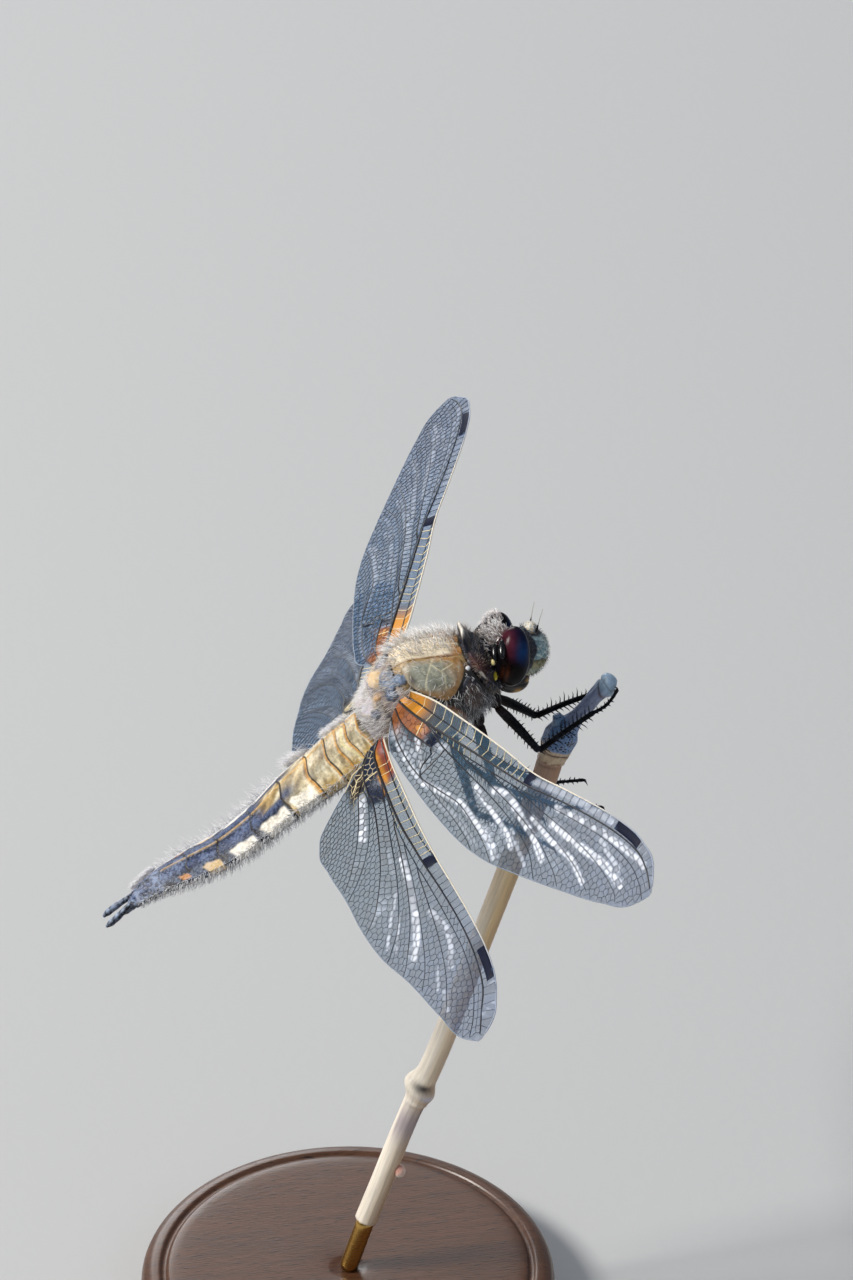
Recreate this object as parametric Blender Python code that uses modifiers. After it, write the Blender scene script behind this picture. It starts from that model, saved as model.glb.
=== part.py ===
"""Four-spotted chaser dragonfly, male, life size, clinging to a cut length of dry stem on a stand.

Metres, +Z up. The dragonfly faces +X, its left side is +Y. The origin is the middle of the
stand's underside. Sizes below are in millimetres unless a name says otherwise.
"""

from math import cos, pi, radians, sin

import bmesh
import bpy
import numpy as np
from mathutils import Euler, Matrix, Vector

MM = 0.001
GAP = 0.3  # left between neighbouring solids

# Whole model
BODY_PLACE = (6.4, 0.0, 66.0)  # middle of the thorax, above the underside of the stand
BODY_PITCH = 33.7  # degrees that the long axis of the body points up

# Head, in its own frame: +X to the face, +Z to the crown
HEAD_PLACE = (13.4, 0.0, 69.0)
HEAD_TURN = (-15.0, 8.0, 8.0)  # degrees: right side raised when negative, nose down, nose to the left
CAPSULE = (1.55, 2.9, 2.55)  # half length, half width, half height
EYE = (1.5, 1.7, 2.75)
EYE_PLACE = (0.2, 1.9, 0.1)
FACE = (2.1, 2.0, 2.2)
FACE_PLACE = (1.95, 0.0, -0.05)
MOUTH = (1.7, 1.7, 1.25)
MOUTH_PLACE = (1.0, 0.0, -2.45)
ANTENNA_ROOT = (2.7, 0.75, 1.97)
ANTENNA_LENGTH = 2.0
ANTENNA_THICKNESS = 0.5

# Thorax stations along the body axis: place, crest height, half width, height of the widest
# line and depth of the underside, all measured from the body axis
THORAX = (
    (-5.2, 1.7, 2.6, -0.3, -2.7),
    (-4.4, 2.2, 3.0, -0.3, -3.4),
    (-3.0, 3.0, 3.4, -0.2, -4.0),
    (-1.2, 3.9, 3.7, -0.2, -4.35),
    (0.8, 4.4, 3.85, -0.3, -4.45),
    (2.6, 3.55, 3.8, -0.5, -4.4),
    (4.1, 2.6, 3.5, -0.7, -4.2),
    (5.1, 1.8, 2.95, -0.9, -3.7),
)
PROTHORAX = (
    (5.4, 1.8, 2.7, -0.6, -3.4),
    (5.9, 2.0, 2.8, -0.5, -3.3),
    (6.4, 1.0, 2.0, -0.8, -2.8),
    (6.9, -0.2, 1.0, -1.0, -1.9),
)

# Abdomen: where each segment ends behind the thorax, then the keel height, half width, height
# of the side edge below the keel and depth below the keel at each of those joints
ABDOMEN_JOINTS = (-5.5, -6.7, -9.1, -11.3, -14.5, -18.2, -21.8, -24.8, -27.4, -29.7, -30.8)
KEEL_HEIGHT = (1.75, 1.5, 1.15, 0.6, -0.1, -1.1, -1.45, -1.1, -0.8, -0.85, -1.2)
HALF_WIDTH = (2.5, 2.8, 3.1, 3.05, 2.85, 2.5, 2.25, 2.0, 1.65, 1.25, 0.95)
SIDE_DROP = (2.1, 2.2, 2.1, 1.75, 1.25, 0.95, 0.85, 0.8, 0.75, 0.65, 0.5)
DEPTH = (4.2, 4.4, 4.2, 3.7, 3.1, 2.6, 2.4, 2.2, 2.0, 1.6, 1.2)
ROOF = 1.45  # 1 is a straight roof over the keel, 2 a round back
CERCUS_LENGTH = 3.0
CERCUS_THICKNESS = 0.62

# Wings: length, then the leading and the trailing edge as (share of length, place on the chord)
WING_THICKNESS = 0.5
FORE_LENGTH = 36.0
FORE_LEAD = (
    (0.0, 0.9), (0.1, 1.3), (0.22, 1.15), (0.38, 0.75), (0.5, 0.3), (0.62, 0.5), (0.8, 0.6),
    (0.9, 0.0), (0.965, -1.25), (1.0, -3.2),
)
FORE_TRAIL = (
    (0.0, -1.0), (0.035, -3.4), (0.1, -4.8), (0.18, -5.8), (0.3, -7.0), (0.4, -7.75),
    (0.5, -7.95), (0.6, -7.6), (0.75, -6.85), (0.88, -6.0), (0.96, -5.0), (1.0, -3.5),
)
HIND_LENGTH = 34.5
HIND_LEAD = (
    (0.0, -0.5), (0.09, -0.75), (0.2, -0.7), (0.33, -0.6), (0.43, -0.35), (0.55, 0.1), (0.69, 0.55),
    (0.76, 0.65), (0.85, 0.5), (0.92, -0.2), (0.975, -1.4), (1.0, -2.8),
)
HIND_TRAIL = (
    (0.0, -1.6), (0.03, -4.7), (0.05, -8.0), (0.07, -10.2), (0.12, -10.75), (0.24, -10.1),
    (0.37, -9.3), (0.48, -9.0), (0.6, -8.2), (0.7, -6.95), (0.86, -5.4), (0.96, -4.3), (1.0, -3.1),
)
FORE_ROOT = (-2.3, 2.74, 1.45)  # from the middle of the thorax, level axes, left side
HIND_ROOT = (-3.4, 2.95, -1.7)
# degrees swept forward, drooped, leading edge raised; millimetres that the tip bends up
WING_SET = {
    "wing_fore_right": (27.5, -6.6, 47.4, 0.0),
    "wing_fore_left": (23.3, -7.2, 39.2, -0.2),
    "wing_hind_right": (6.5, 9.5, 40.0, 0.3),
    "wing_hind_left": (14.6, 20.4, 40.0, 1.4),
}
ANAL_DROP = 3.4  # how far the broad inner corner of a hindwing folds down
ANAL_REACH = 7.0

# Legs: hip, knee, ankle and claw tip from the middle of the thorax, level axes
LEGS = {
    "leg_fore_right": ((6.4, -1.0, -1.9), (9.7, -2.6, -5.8), (14.7, -1.3, -3.4), (16.75, -1.0, -1.55)),
    "leg_fore_left": ((6.7, 1.0, -2.4), (10.5, 2.6, -6.0), (14.9, 1.5, -3.6), (16.7, 1.1, -2.8)),
    "leg_mid_right": ((4.8, -1.9, -2.9), (5.7, -3.2, -8.6), (12.0, -1.6, -12.8), (15.4, -1.5, -13.3)),
    "leg_mid_left": ((4.8, 1.9, -2.9), (5.9, 2.4, -9.4), (10.7, 1.7, -12.5), (14.4, 1.4, -12.4)),
    "leg_hind_right": ((2.4, -2.1, -4.3), (4.0, -3.9, -10.6), (9.3, -1.6, -15.4), (11.3, -1.4, -17.2)),
    "leg_hind_left": ((2.4, 2.1, -4.3), (4.3, 3.2, -10.3), (9.3, 1.7, -14.6), (11.0, 1.7, -16.3)),
}
FEMUR_RADII = (0.5, 0.42, 0.34)
TIBIA_RADII = (0.3, 0.26)
TARSUS_RADII = (0.26, 0.25)

# Stem: forward and upward place of points down its middle, from the middle of the thorax, and the
# radius there
STEM_TOP = (
    (16.4, -1.0, 0.62), (16.0, -1.5, 0.74), (15.0, -2.7, 0.68), (13.6, -4.5, 0.64),
    (12.8, -5.4, 0.85), (12.2, -6.2, 1.3), (11.7, -7.4, 1.38), (11.35, -8.4, 1.2),
)
STEM_SHAFT = (
    (11.2, -8.85, 1.2), (10.85, -10.3, 1.13), (8.3, -18.0, 1.0), (4.95, -28.2, 0.96),
    (1.95, -37.2, 0.98), (0.85, -40.3, 1.02), (-0.1, -42.3, 1.45), (-0.65, -43.9, 1.15),
    (-1.2, -45.5, 0.95), (-4.78, -56.0, 0.98),
)
STUB = ((11.9, -6.2, 0.5), (11.8, -5.3, 0.5), (11.9, -4.3, 0.45))  # a cut side shoot on the knot

# Stand
STAND_RADIUS = 18.0
STAND_THICKNESS = 5.0
STAND_EDGE = 0.6
ROD_RADIUS = 0.8


def material(name, colour, roughness, metallic=0.0):
    """A plain finish: linear colour, roughness and metallic value."""
    made = bpy.data.materials.new(name)
    made.use_nodes = True
    shader = made.node_tree.nodes["Principled BSDF"]
    shader.inputs["Base Color"].default_value = (*colour, 1.0)
    shader.inputs["Roughness"].default_value = roughness
    shader.inputs["Metallic"].default_value = metallic
    return made


def clear_scene():
    for old in list(bpy.data.objects):
        bpy.data.objects.remove(old, do_unlink=True)


def frame(name, place, rotation=(0.0, 0.0, 0.0)):
    """An empty that carries a group of parts: place in millimetres, rotation in degrees."""
    empty = bpy.data.objects.new(name, None)
    empty.location = Vector(place) * MM
    empty.rotation_euler = Euler([radians(angle) for angle in rotation], "XYZ")
    parts.objects.link(empty)
    return empty


def add_part(name, mesh, finish, parent=None):
    """Names a mesh as one part of the model, shades it smooth and gives it its finish."""
    part = bpy.data.objects.new(name, mesh)
    mesh.materials.clear()
    mesh.materials.append(finish)
    mesh.shade_smooth()
    mesh.set_sharp_from_angle(angle=radians(50))
    part.parent = parent
    parts.objects.link(part)
    return part


def mesh_from(name, bm):
    bmesh.ops.recalc_face_normals(bm, faces=bm.faces)
    mesh = bpy.data.meshes.new(name)
    bm.to_mesh(mesh)
    bm.free()
    return mesh


def ellipsoid(name, half_sizes, place, turn=0.0, columns=20, rows=12):
    """A sphere primitive stretched to three half sizes, nodded by turn degrees about Y."""
    bm = bmesh.new()
    stretch = Matrix.Diagonal((*[size * MM for size in half_sizes], 1.0))
    move = Matrix.Translation(Vector(place) * MM) @ Matrix.Rotation(radians(turn), 4, "Y")
    bmesh.ops.create_uvsphere(bm, u_segments=columns, v_segments=rows, radius=1.0, matrix=move @ stretch)
    return mesh_from(name, bm)


def loft(name, rings):
    """A closed skin through rings of equal point counts, in metres, with a flat cap on each end."""
    bm = bmesh.new()
    rows = [[bm.verts.new(point) for point in ring] for ring in rings]
    count = len(rows[0])
    for row, following in zip(rows, rows[1:]):
        for i in range(count):
            j = (i + 1) % count
            bm.faces.new((row[i], row[j], following[j], following[i]))
    bm.faces.new(rows[0])
    bm.faces.new(list(reversed(rows[-1])))
    return mesh_from(name, bm)


def stalk_rings(stations, count=14):
    """Round rings square to a path in the middle plane; each station is x, z and radius."""
    stations = np.array(stations)
    heading = np.gradient(stations[:, :2], axis=0)
    heading /= np.linalg.norm(heading, axis=1, keepdims=True)
    angles = np.linspace(0, 2 * pi, count, endpoint=False)
    radii = stations[:, 2:]
    x = stations[:, :1] - heading[:, 1:] * np.cos(angles) * radii
    y = np.sin(angles) * radii
    z = stations[:, 1:2] + heading[:, :1] * np.cos(angles) * radii
    return np.stack([x, y, z], axis=2) * MM


def trunk_ring(place, crest, half_width, widest, underside, count=20, power=2.2):
    """One superellipse station across the body: the upper and lower halves meet at the widest line."""
    angles = np.linspace(0, 2 * pi, count, endpoint=False)
    across = np.sign(np.cos(angles)) * np.abs(np.cos(angles)) ** (2 / power)
    upright = np.sign(np.sin(angles)) * np.abs(np.sin(angles)) ** (2 / power)
    reach = np.where(upright > 0, crest - widest, widest - underside)
    ring = np.stack([np.full(count, place), across * half_width, widest + upright * reach], axis=1)
    return ring * MM


def abdomen_ring(place, keel, half_width, side_drop, depth, count=20):
    """A roofed section: two slopes fall from the keel to the side edges, and a round belly closes it."""
    half = count // 2
    upper = np.sin(np.linspace(-pi / 2, pi / 2, half + 1))
    lower = np.sin(np.linspace(pi / 2, -pi / 2, half + 1))[1:-1]
    across = np.concatenate([upper, lower]) * half_width
    roof = keel - side_drop * np.abs(upper) ** ROOF
    belly = keel - side_drop - (depth - side_drop) * np.sqrt(1 - lower**2)
    ring = np.stack([np.full(count, place), across, np.concatenate([roof, belly])], axis=1)
    return ring * MM


def abdomen_at(place):
    """The four measures of the abdomen's section at a place along the body, read between joints."""
    joints = ABDOMEN_JOINTS[::-1]
    return [np.interp(place, joints, row[::-1]) for row in (KEEL_HEIGHT, HALF_WIDTH, SIDE_DROP, DEPTH)]


def edge_at(edge, share):
    """The smooth edge curve of a wing at a share of its length, rounded off towards the tip."""
    stations, offsets = zip(*edge)
    stations = np.array(stations)
    slopes = np.gradient(np.array(offsets), stations)
    i = int(np.clip(np.searchsorted(stations, share) - 1, 0, len(stations) - 2))
    span = stations[i + 1] - stations[i]
    t = (share - stations[i]) / span
    limit = 3 * abs(offsets[i + 1] - offsets[i]) / span
    start, end = np.clip(slopes[i : i + 2], -limit, limit)
    blend = t * t * (3 - 2 * t)
    bow = span * t * (1 - t) * ((1 - t) * start - t * end)
    return offsets[i] * (1 - blend) + offsets[i + 1] * blend + bow


def wing(name, finish):
    """An open sheet between the leading and the trailing edge, thickened, set at the wing's angles."""
    fore = "fore" in name
    side = 1 if "left" in name else -1
    length = FORE_LENGTH if fore else HIND_LENGTH
    lead, trail = (FORE_LEAD, FORE_TRAIL) if fore else (HIND_LEAD, HIND_TRAIL)
    sweep, droop, twist, tip_bend = WING_SET[name]
    rows, columns = 30, 6
    bm = bmesh.new()
    bmesh.ops.create_grid(bm, x_segments=rows, y_segments=columns, size=0.5)
    for vert in bm.verts:
        along = sin((vert.co.x + 0.5) * pi / 2) * 0.999
        chord = vert.co.y + 0.5
        front, back = edge_at(lead, along), edge_at(trail, along)
        across = back + (front - back) * chord
        lift = tip_bend * along**2
        if not fore:
            lift -= ANAL_DROP * np.exp(-((along * length / ANAL_REACH) ** 2)) * max(-across, 0) ** 1.5 / 36
        vert.co = Vector((-side * along * length, across, lift)) * MM
    part = add_part(name, mesh_from(name, bm), finish)
    s, d, t = radians(sweep), radians(droop), radians(twist)
    span = Vector((sin(s) * cos(d), side * cos(s) * cos(d), -sin(d)))
    forward = Vector((cos(s), -side * sin(s), 0))
    normal = span.cross(forward)
    normal *= 1 if normal.z > 0 else -1
    chordwise = forward * cos(t) + normal * sin(t)
    outward = span * -side
    upright = outward.cross(chordwise)
    turned = Matrix((outward, chordwise, upright)).transposed().to_4x4()
    root = Vector(FORE_ROOT if fore else HIND_ROOT)
    root.y *= side
    part.matrix_world = Matrix.Translation((root + Vector(BODY_PLACE)) * MM) @ turned
    shell = part.modifiers.new("Thickness", "SOLIDIFY")
    shell.thickness = WING_THICKNESS * MM
    shell.offset = 0
    return part


def rod(name, points, radii, finish, parent=None, sides=2):
    """A round rod through points in millimetres, as a curve with a bevel and filled caps."""
    curve = bpy.data.curves.new(name, "CURVE")
    curve.dimensions = "3D"
    curve.bevel_depth = MM
    curve.bevel_resolution = sides
    curve.use_fill_caps = True
    spline = curve.splines.new("POLY")
    spline.points.add(len(points) - 1)
    for point, place, radius in zip(spline.points, points, radii):
        point.co = (*(Vector(place) * MM), 1.0)
        point.radius = radius
    curve.materials.append(finish)
    part = bpy.data.objects.new(name, curve)
    part.parent = parent
    parts.objects.link(part)
    return part


def shortened(start, end, cut_start, cut_end):
    """The two ends of a straight rod drawn in from its joints."""
    start, end = Vector(start), Vector(end)
    along = (end - start).normalized()
    return start + along * cut_start, end - along * cut_end


def leg(name, joints, finish, parent):
    """Thigh, shin and foot of one leg, each a tapered straight rod in its own node."""
    hip, knee, ankle, claw = joints
    top, bottom = shortened(hip, knee, 0.0, 0.3)
    middle = top.lerp(bottom, 0.4)
    rod(name + "_femur", (top, middle, bottom), FEMUR_RADII, finish, parent)
    rod(name + "_tibia", shortened(knee, ankle, 0.45, 0.2), TIBIA_RADII, finish, parent)
    rod(name + "_tarsus", shortened(ankle, claw, 0.35, 0.0), TARSUS_RADII, finish, parent)


def carve(part, other, gap=GAP):
    """Cuts a part clear of another: the cutter is the other one's own surface, grown by the gap."""
    cutter = other.copy()
    cutter.data = other.data.copy()
    cutter.name = f"cutter_{other.name}_{part.name}"
    cutter.hide_render = True
    cutter.display_type = "WIRE"
    cutters.objects.link(cutter)
    grow = cutter.modifiers.new("Grow", "DISPLACE")
    grow.strength = gap * MM
    grow.mid_level = 0
    cut = part.modifiers.new("Cut", "BOOLEAN")
    cut.operation = "DIFFERENCE"
    cut.object = cutter


clear_scene()
parts = bpy.data.collections.new("four_spotted_chaser")
cutters = bpy.data.collections.new("cutters")
bpy.context.scene.collection.children.link(parts)
bpy.context.scene.collection.children.link(cutters)

cuticle = material("grey_tan_cuticle", (0.30, 0.24, 0.15), 0.5)
dark_cuticle = material("black_cuticle", (0.01, 0.01, 0.012), 0.35)
face_cuticle = material("olive_cream_cuticle", (0.42, 0.42, 0.22), 0.45)
eye_cuticle = material("brown_red_eye", (0.06, 0.012, 0.018), 0.12)
wing_membrane = material("wing_membrane", (0.45, 0.5, 0.56), 0.3)
stem_bark = material("dry_stem", (0.45, 0.35, 0.22), 0.6)
stand_wood = material("stand_wood", (0.08, 0.045, 0.025), 0.5)
stand_brass = material("stand_brass", (0.75, 0.55, 0.25), 0.3, 1.0)

body = frame("body_frame", BODY_PLACE, (0.0, -BODY_PITCH, 0.0))
level = frame("level_frame", BODY_PLACE)
head_frame = frame("head_frame", HEAD_PLACE, HEAD_TURN)

# Thorax: the wing-bearing block and, in front of it, the small neck shield
thorax_rings = [trunk_ring(*station) for station in THORAX]
thorax = add_part("thorax", loft("thorax", thorax_rings), cuticle, body)
prothorax_rings = [trunk_ring(*station, count=18, power=3.0) for station in PROTHORAX]
prothorax = add_part("prothorax", loft("prothorax", prothorax_rings), dark_cuticle, body)

# Abdomen: ten segments parted by thin cuts, then the two upper claspers
segments = []
for number, (front, rear) in enumerate(zip(ABDOMEN_JOINTS, ABDOMEN_JOINTS[1:]), start=1):
    places = np.linspace(front - GAP / 2, rear + GAP / 2, 3)
    rings = [abdomen_ring(place, *abdomen_at(place)) for place in places]
    segment_name = f"abdomen_{number}"
    segments.append(add_part(segment_name, loft(segment_name, rings), cuticle, body))
for side, side_name in ((1, "left"), (-1, "right")):
    root = Vector((ABDOMEN_JOINTS[-1] - GAP, 0.45 * side, KEEL_HEIGHT[-1] - 0.45))
    tip = root + Vector((-CERCUS_LENGTH, 0.25 * side, -0.35))
    middle = root.lerp(tip, 0.55)
    radii = [CERCUS_THICKNESS / 2 * share for share in (0.7, 1.0, 0.6)]
    rod(f"cercus_{side_name}", (root, middle, tip), radii, dark_cuticle, body)

# Head: capsule, bulging eyes that all but meet on the crown, and the face and mouth between them
head_shapes = {
    "head_capsule": (CAPSULE, (-0.1, 0.0, -0.15), 0, dark_cuticle),
    "eye_left": (EYE, EYE_PLACE, 4, eye_cuticle),
    "eye_right": (EYE, (EYE_PLACE[0], -EYE_PLACE[1], EYE_PLACE[2]), 4, eye_cuticle),
    "face": (FACE, FACE_PLACE, 8, face_cuticle),
    "mouth": (MOUTH, MOUTH_PLACE, 0, face_cuticle),
}
head = {
    name: add_part(name, ellipsoid(name, half_sizes, place, turn), finish, head_frame)
    for name, (half_sizes, place, turn, finish) in head_shapes.items()
}
for neighbour in head.values():
    carve(prothorax, neighbour)
for part_name, neighbours in (
    ("mouth", ("face", "eye_left", "eye_right", "head_capsule")),
    ("face", ("eye_left", "eye_right", "head_capsule")),
):
    for neighbour in neighbours:
        carve(head[part_name], head[neighbour])
for eye_name in ("eye_left", "eye_right"):
    carve(head[eye_name], head["head_capsule"])
    carve(head[eye_name], thorax)
for side, side_name in ((1, "left"), (-1, "right")):
    x, y, z = ANTENNA_ROOT
    root = Vector((x, y * side, z))
    tip = root + Vector((0.14, 0.12 * side, 0.98)) * ANTENNA_LENGTH
    rod(f"antenna_{side_name}", (root, tip), [ANTENNA_THICKNESS / 2] * 2, dark_cuticle, head_frame)

# Wings, cut clear of the trunk
for wing_name in WING_SET:
    made_wing = wing(wing_name, wing_membrane)
    for neighbour in (thorax, *segments[:4]):
        carve(made_wing, neighbour)

# Legs
for leg_name, leg_joints in LEGS.items():
    leg(leg_name, leg_joints, dark_cuticle, level)

# Stem: the worn top with its knot and side shoot, and the shaft down to the saw cut
stem_top = add_part("stem_top", loft("stem_top", stalk_rings(STEM_TOP)), stem_bark, level)
add_part("stem_shaft", loft("stem_shaft", stalk_rings(STEM_SHAFT)), stem_bark, level)
stem_stub = add_part("stem_stub", loft("stem_stub", stalk_rings(STUB)), stem_bark, level)
carve(stem_stub, stem_top)

# Stand: a turned wooden disc, and a brass rod in line with the stem
bm = bmesh.new()
bmesh.ops.create_cone(
    bm, cap_ends=True, segments=64, radius1=STAND_RADIUS * MM, radius2=STAND_RADIUS * MM,
    depth=STAND_THICKNESS * MM, matrix=Matrix.Translation((0, 0, STAND_THICKNESS * MM / 2)),
)
base = add_part("stand_base", mesh_from("stand_base", bm), stand_wood)
rounding = base.modifiers.new("Edge", "BEVEL")
rounding.width = STAND_EDGE * MM
rounding.segments = 2
rounding.limit_method = "ANGLE"
stem_foot = Vector((STEM_SHAFT[-1][0], 0, STEM_SHAFT[-1][1])) + Vector(BODY_PLACE)
rod_foot = Vector((0, 0, STAND_THICKNESS + GAP))
rod_ends = shortened(rod_foot, stem_foot, 0.25, GAP + 0.1)
rod("stand_rod", rod_ends, [ROD_RADIUS] * 2, stand_brass, sides=3)
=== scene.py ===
"""Looks of the four-spotted chaser on its stem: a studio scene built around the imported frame.

Sizes are in millimetres and turned to metres where a mesh is made. Only the floor's is in metres.
"""

from math import radians

import bpy
import numpy as np
from mathutils import Matrix, Vector, geometry


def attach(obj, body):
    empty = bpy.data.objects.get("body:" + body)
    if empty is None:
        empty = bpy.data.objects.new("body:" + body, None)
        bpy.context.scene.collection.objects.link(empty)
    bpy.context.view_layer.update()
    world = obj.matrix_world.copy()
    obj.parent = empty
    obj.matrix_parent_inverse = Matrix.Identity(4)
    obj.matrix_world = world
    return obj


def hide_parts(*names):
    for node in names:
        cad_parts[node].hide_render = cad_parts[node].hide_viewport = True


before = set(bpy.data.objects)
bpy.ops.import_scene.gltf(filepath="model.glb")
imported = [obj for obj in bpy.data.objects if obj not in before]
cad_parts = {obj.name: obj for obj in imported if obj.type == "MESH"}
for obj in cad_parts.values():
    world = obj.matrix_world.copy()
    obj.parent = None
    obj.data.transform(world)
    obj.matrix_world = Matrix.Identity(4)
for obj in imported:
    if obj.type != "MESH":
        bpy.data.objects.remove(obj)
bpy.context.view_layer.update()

# Studio. A long lens one metre off looks down on the middle of the thorax, over a pale floor. A
# soft key lamp stands high on the viewer's left, as the sun does in life, a broad pale lamp fills
# the front, a rim lamp stands behind, and a bluish room light stands in for the sky.
MM = 0.001
BODY_PLACE = np.array([6.4, 0.0, 66.0])
VIEW_TURN, VIEW_HEIGHT, VIEW_REACH = radians(-10.87), radians(35.69), 1000.0
VIEW_SHIFT = (0.546, 4.2)
LENS = 334.7
FLOOR_SIZE = 6.0
FLOOR_COLOUR, ROOM_COLOUR = "#CCCDCD", "#D4DEEE"
ROOM_STRENGTH = 0.27
LAMPS = {
    "key": ((-0.76, 0.49, 0.46), 900, 240, 8.0, "#FFFBF5"),
    "fill": ((0.55, 0.25, 0.80), 1100, 700, 0.9, "#F4F7FF"),
    "rim": ((-0.25, 0.80, -0.55), 900, 420, 2.6, "#FFFFFF"),
}


def linear(code):
    """Linear red, green, blue and alpha of an sRGB hex value, by the sRGB curve."""
    srgb = np.array([int(code[i : i + 2], 16) for i in (1, 3, 5)]) / 255
    low, high = srgb / 12.92, ((srgb + 0.055) / 1.055) ** 2.4
    return np.append(np.where(srgb <= 0.04045, low, high), 1.0)


def plug(tree, node, inputs):
    """Sets a node's inputs by name or number: an output is linked, anything else is its value."""
    for key, value in inputs.items():
        if isinstance(value, bpy.types.NodeSocket):
            tree.links.new(value, node.inputs[key])
        else:
            node.inputs[key].default_value = value
    return node


def add(tree, kind, inputs=(), **settings):
    """One shader node of a kind, with its settings, its inputs and its links."""
    node = tree.nodes.new("ShaderNode" + kind)
    for key, value in settings.items():
        setattr(node, key, value)
    return plug(tree, node, dict(inputs))


def own_place(tree):
    """Each point's place in its object's own axes."""
    return add(tree, "TexCoord").outputs["Object"]


def start_material(name):
    """A new node material: the material, its tree and its Principled shader."""
    made = bpy.data.materials.new(name)
    made.use_nodes = True
    return made, made.node_tree, made.node_tree.nodes["Principled BSDF"]


back = Vector((np.sin(VIEW_TURN) * np.cos(VIEW_HEIGHT), -np.cos(VIEW_TURN) * np.cos(VIEW_HEIGHT),
               np.sin(VIEW_HEIGHT)))
right = Vector((np.cos(VIEW_TURN), np.sin(VIEW_TURN), 0))
up = back.cross(right)
camera = bpy.data.objects.new("camera", bpy.data.cameras.new("camera"))
camera.data.lens = LENS
camera.data.clip_start, camera.data.clip_end = 0.05, 10
place = Vector(BODY_PLACE) + right * VIEW_SHIFT[0] + up * VIEW_SHIFT[1] + back * VIEW_REACH
camera.matrix_world = Matrix.Translation(place * MM) @ Matrix((right, up, back)).transposed().to_4x4()
bpy.context.scene.collection.objects.link(camera)
bpy.context.scene.camera = camera

for lamp_name, (way, reach, size, power, colour) in LAMPS.items():
    lamp = bpy.data.objects.new(lamp_name, bpy.data.lights.new(lamp_name, "AREA"))
    lamp.data.size = size * MM
    lamp.data.energy = power
    lamp.data.color = linear(colour)[:3]
    toward = (right * way[0] + up * way[1] + back * way[2]).normalized()
    lamp.location = (Vector(BODY_PLACE) + toward * reach) * MM
    lamp.rotation_euler = toward.to_track_quat("Z", "Y").to_euler()
    bpy.context.scene.collection.objects.link(lamp)

world = bpy.data.worlds.new("room")
world.use_nodes = True
plug(world.node_tree, world.node_tree.nodes["Background"],
     {"Color": linear(ROOM_COLOUR), "Strength": ROOM_STRENGTH})
bpy.context.scene.world = world
bpy.context.scene.view_settings.view_transform = "Standard"

# painted board: matt, even, with the faintest tooth
paint, tree, shader = start_material("matt_painted_board")
tooth = add(tree, "TexNoise", {"Vector": own_place(tree), "Scale": 900.0})
plug(tree, shader, {
    "Base Color": linear(FLOOR_COLOUR), "Roughness": 0.9, "Specular IOR Level": 0.2,
    "Normal": add(tree, "Bump", {"Height": tooth.outputs[0], "Strength": 0.03}).outputs[0],
})
floor_mesh = bpy.data.meshes.new("floor")
corner = FLOOR_SIZE / 2
floor_mesh.from_pydata(
    [(-corner, -corner, 0), (corner, -corner, 0), (corner, corner, 0), (-corner, corner, 0)],
    [], [(0, 1, 2, 3)])
floor_mesh.materials.append(paint)
floor = bpy.data.objects.new("floor", floor_mesh)
bpy.context.scene.collection.objects.link(floor)

# Stand. A turned beech disc, stained dark and oiled, with a fine bead near its rim, and a drawn
# brass rod let into its middle, which holds the cut end of the stem.
DISC_PROFILE = (
    (0.0, 0.0), (17.2, 0.0), (17.8, 0.25), (18.0, 0.9), (18.0, 3.7), (17.75, 4.35), (17.1, 4.75),
    (16.4, 4.85), (16.15, 4.62), (15.85, 4.62), (15.6, 4.9), (14.8, 5.0), (1.6, 5.0), (1.15, 4.8),
    (0.0, 4.8),
)
ROD_RADIUS = 0.8
ROD_ENDS = ((0.0, 0.0, 4.85), (1.67, 0.0, 10.1))
WOOD_DARK, WOOD_LIGHT, PORE_COLOUR = "#3A2216", "#6B452C", "#20120B"
BRASS_COLOUR, BRASS_DEEP = "#D9B064", "#C29A50"


def circle(count):
    """Even angles once round."""
    return np.linspace(0, 2 * np.pi, count, endpoint=False)


def ball(down, turn):
    """Directions by the angle down from the pole and the angle round it."""
    return np.stack([np.sin(down) * np.cos(turn), np.sin(down) * np.sin(turn), np.cos(down) + 0 * turn],
                    axis=-1)


def quads(rows, columns, wrap=True):
    """Corner numbers of the faces of a grid of points, row by row, closed round if wrapped."""
    ids = np.arange(rows * columns).reshape(rows, columns)
    ids = np.hstack([ids, ids[:, :1]]) if wrap else ids
    return np.stack([ids[:-1, :-1], ids[1:, :-1], ids[1:, 1:], ids[:-1, 1:]], axis=-1).reshape(-1, 4)


def closed_rings(rings):
    """Points and faces of a skin through rings of points, each end closed by a fan to its middle."""
    rows, columns = rings.shape[:2]
    points = np.concatenate([rings.reshape(-1, 3), rings[0].mean(0)[None], rings[-1].mean(0)[None]])
    around = np.arange(columns)
    after = np.roll(around, -1)
    first, last = rows * columns, rows * columns + 1
    near = np.stack([np.full(columns, first), around, after], axis=1)
    far = np.stack([np.full(columns, last), after + first - columns, around + first - columns], axis=1)
    return points, [quads(rows, columns), near, far]


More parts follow.
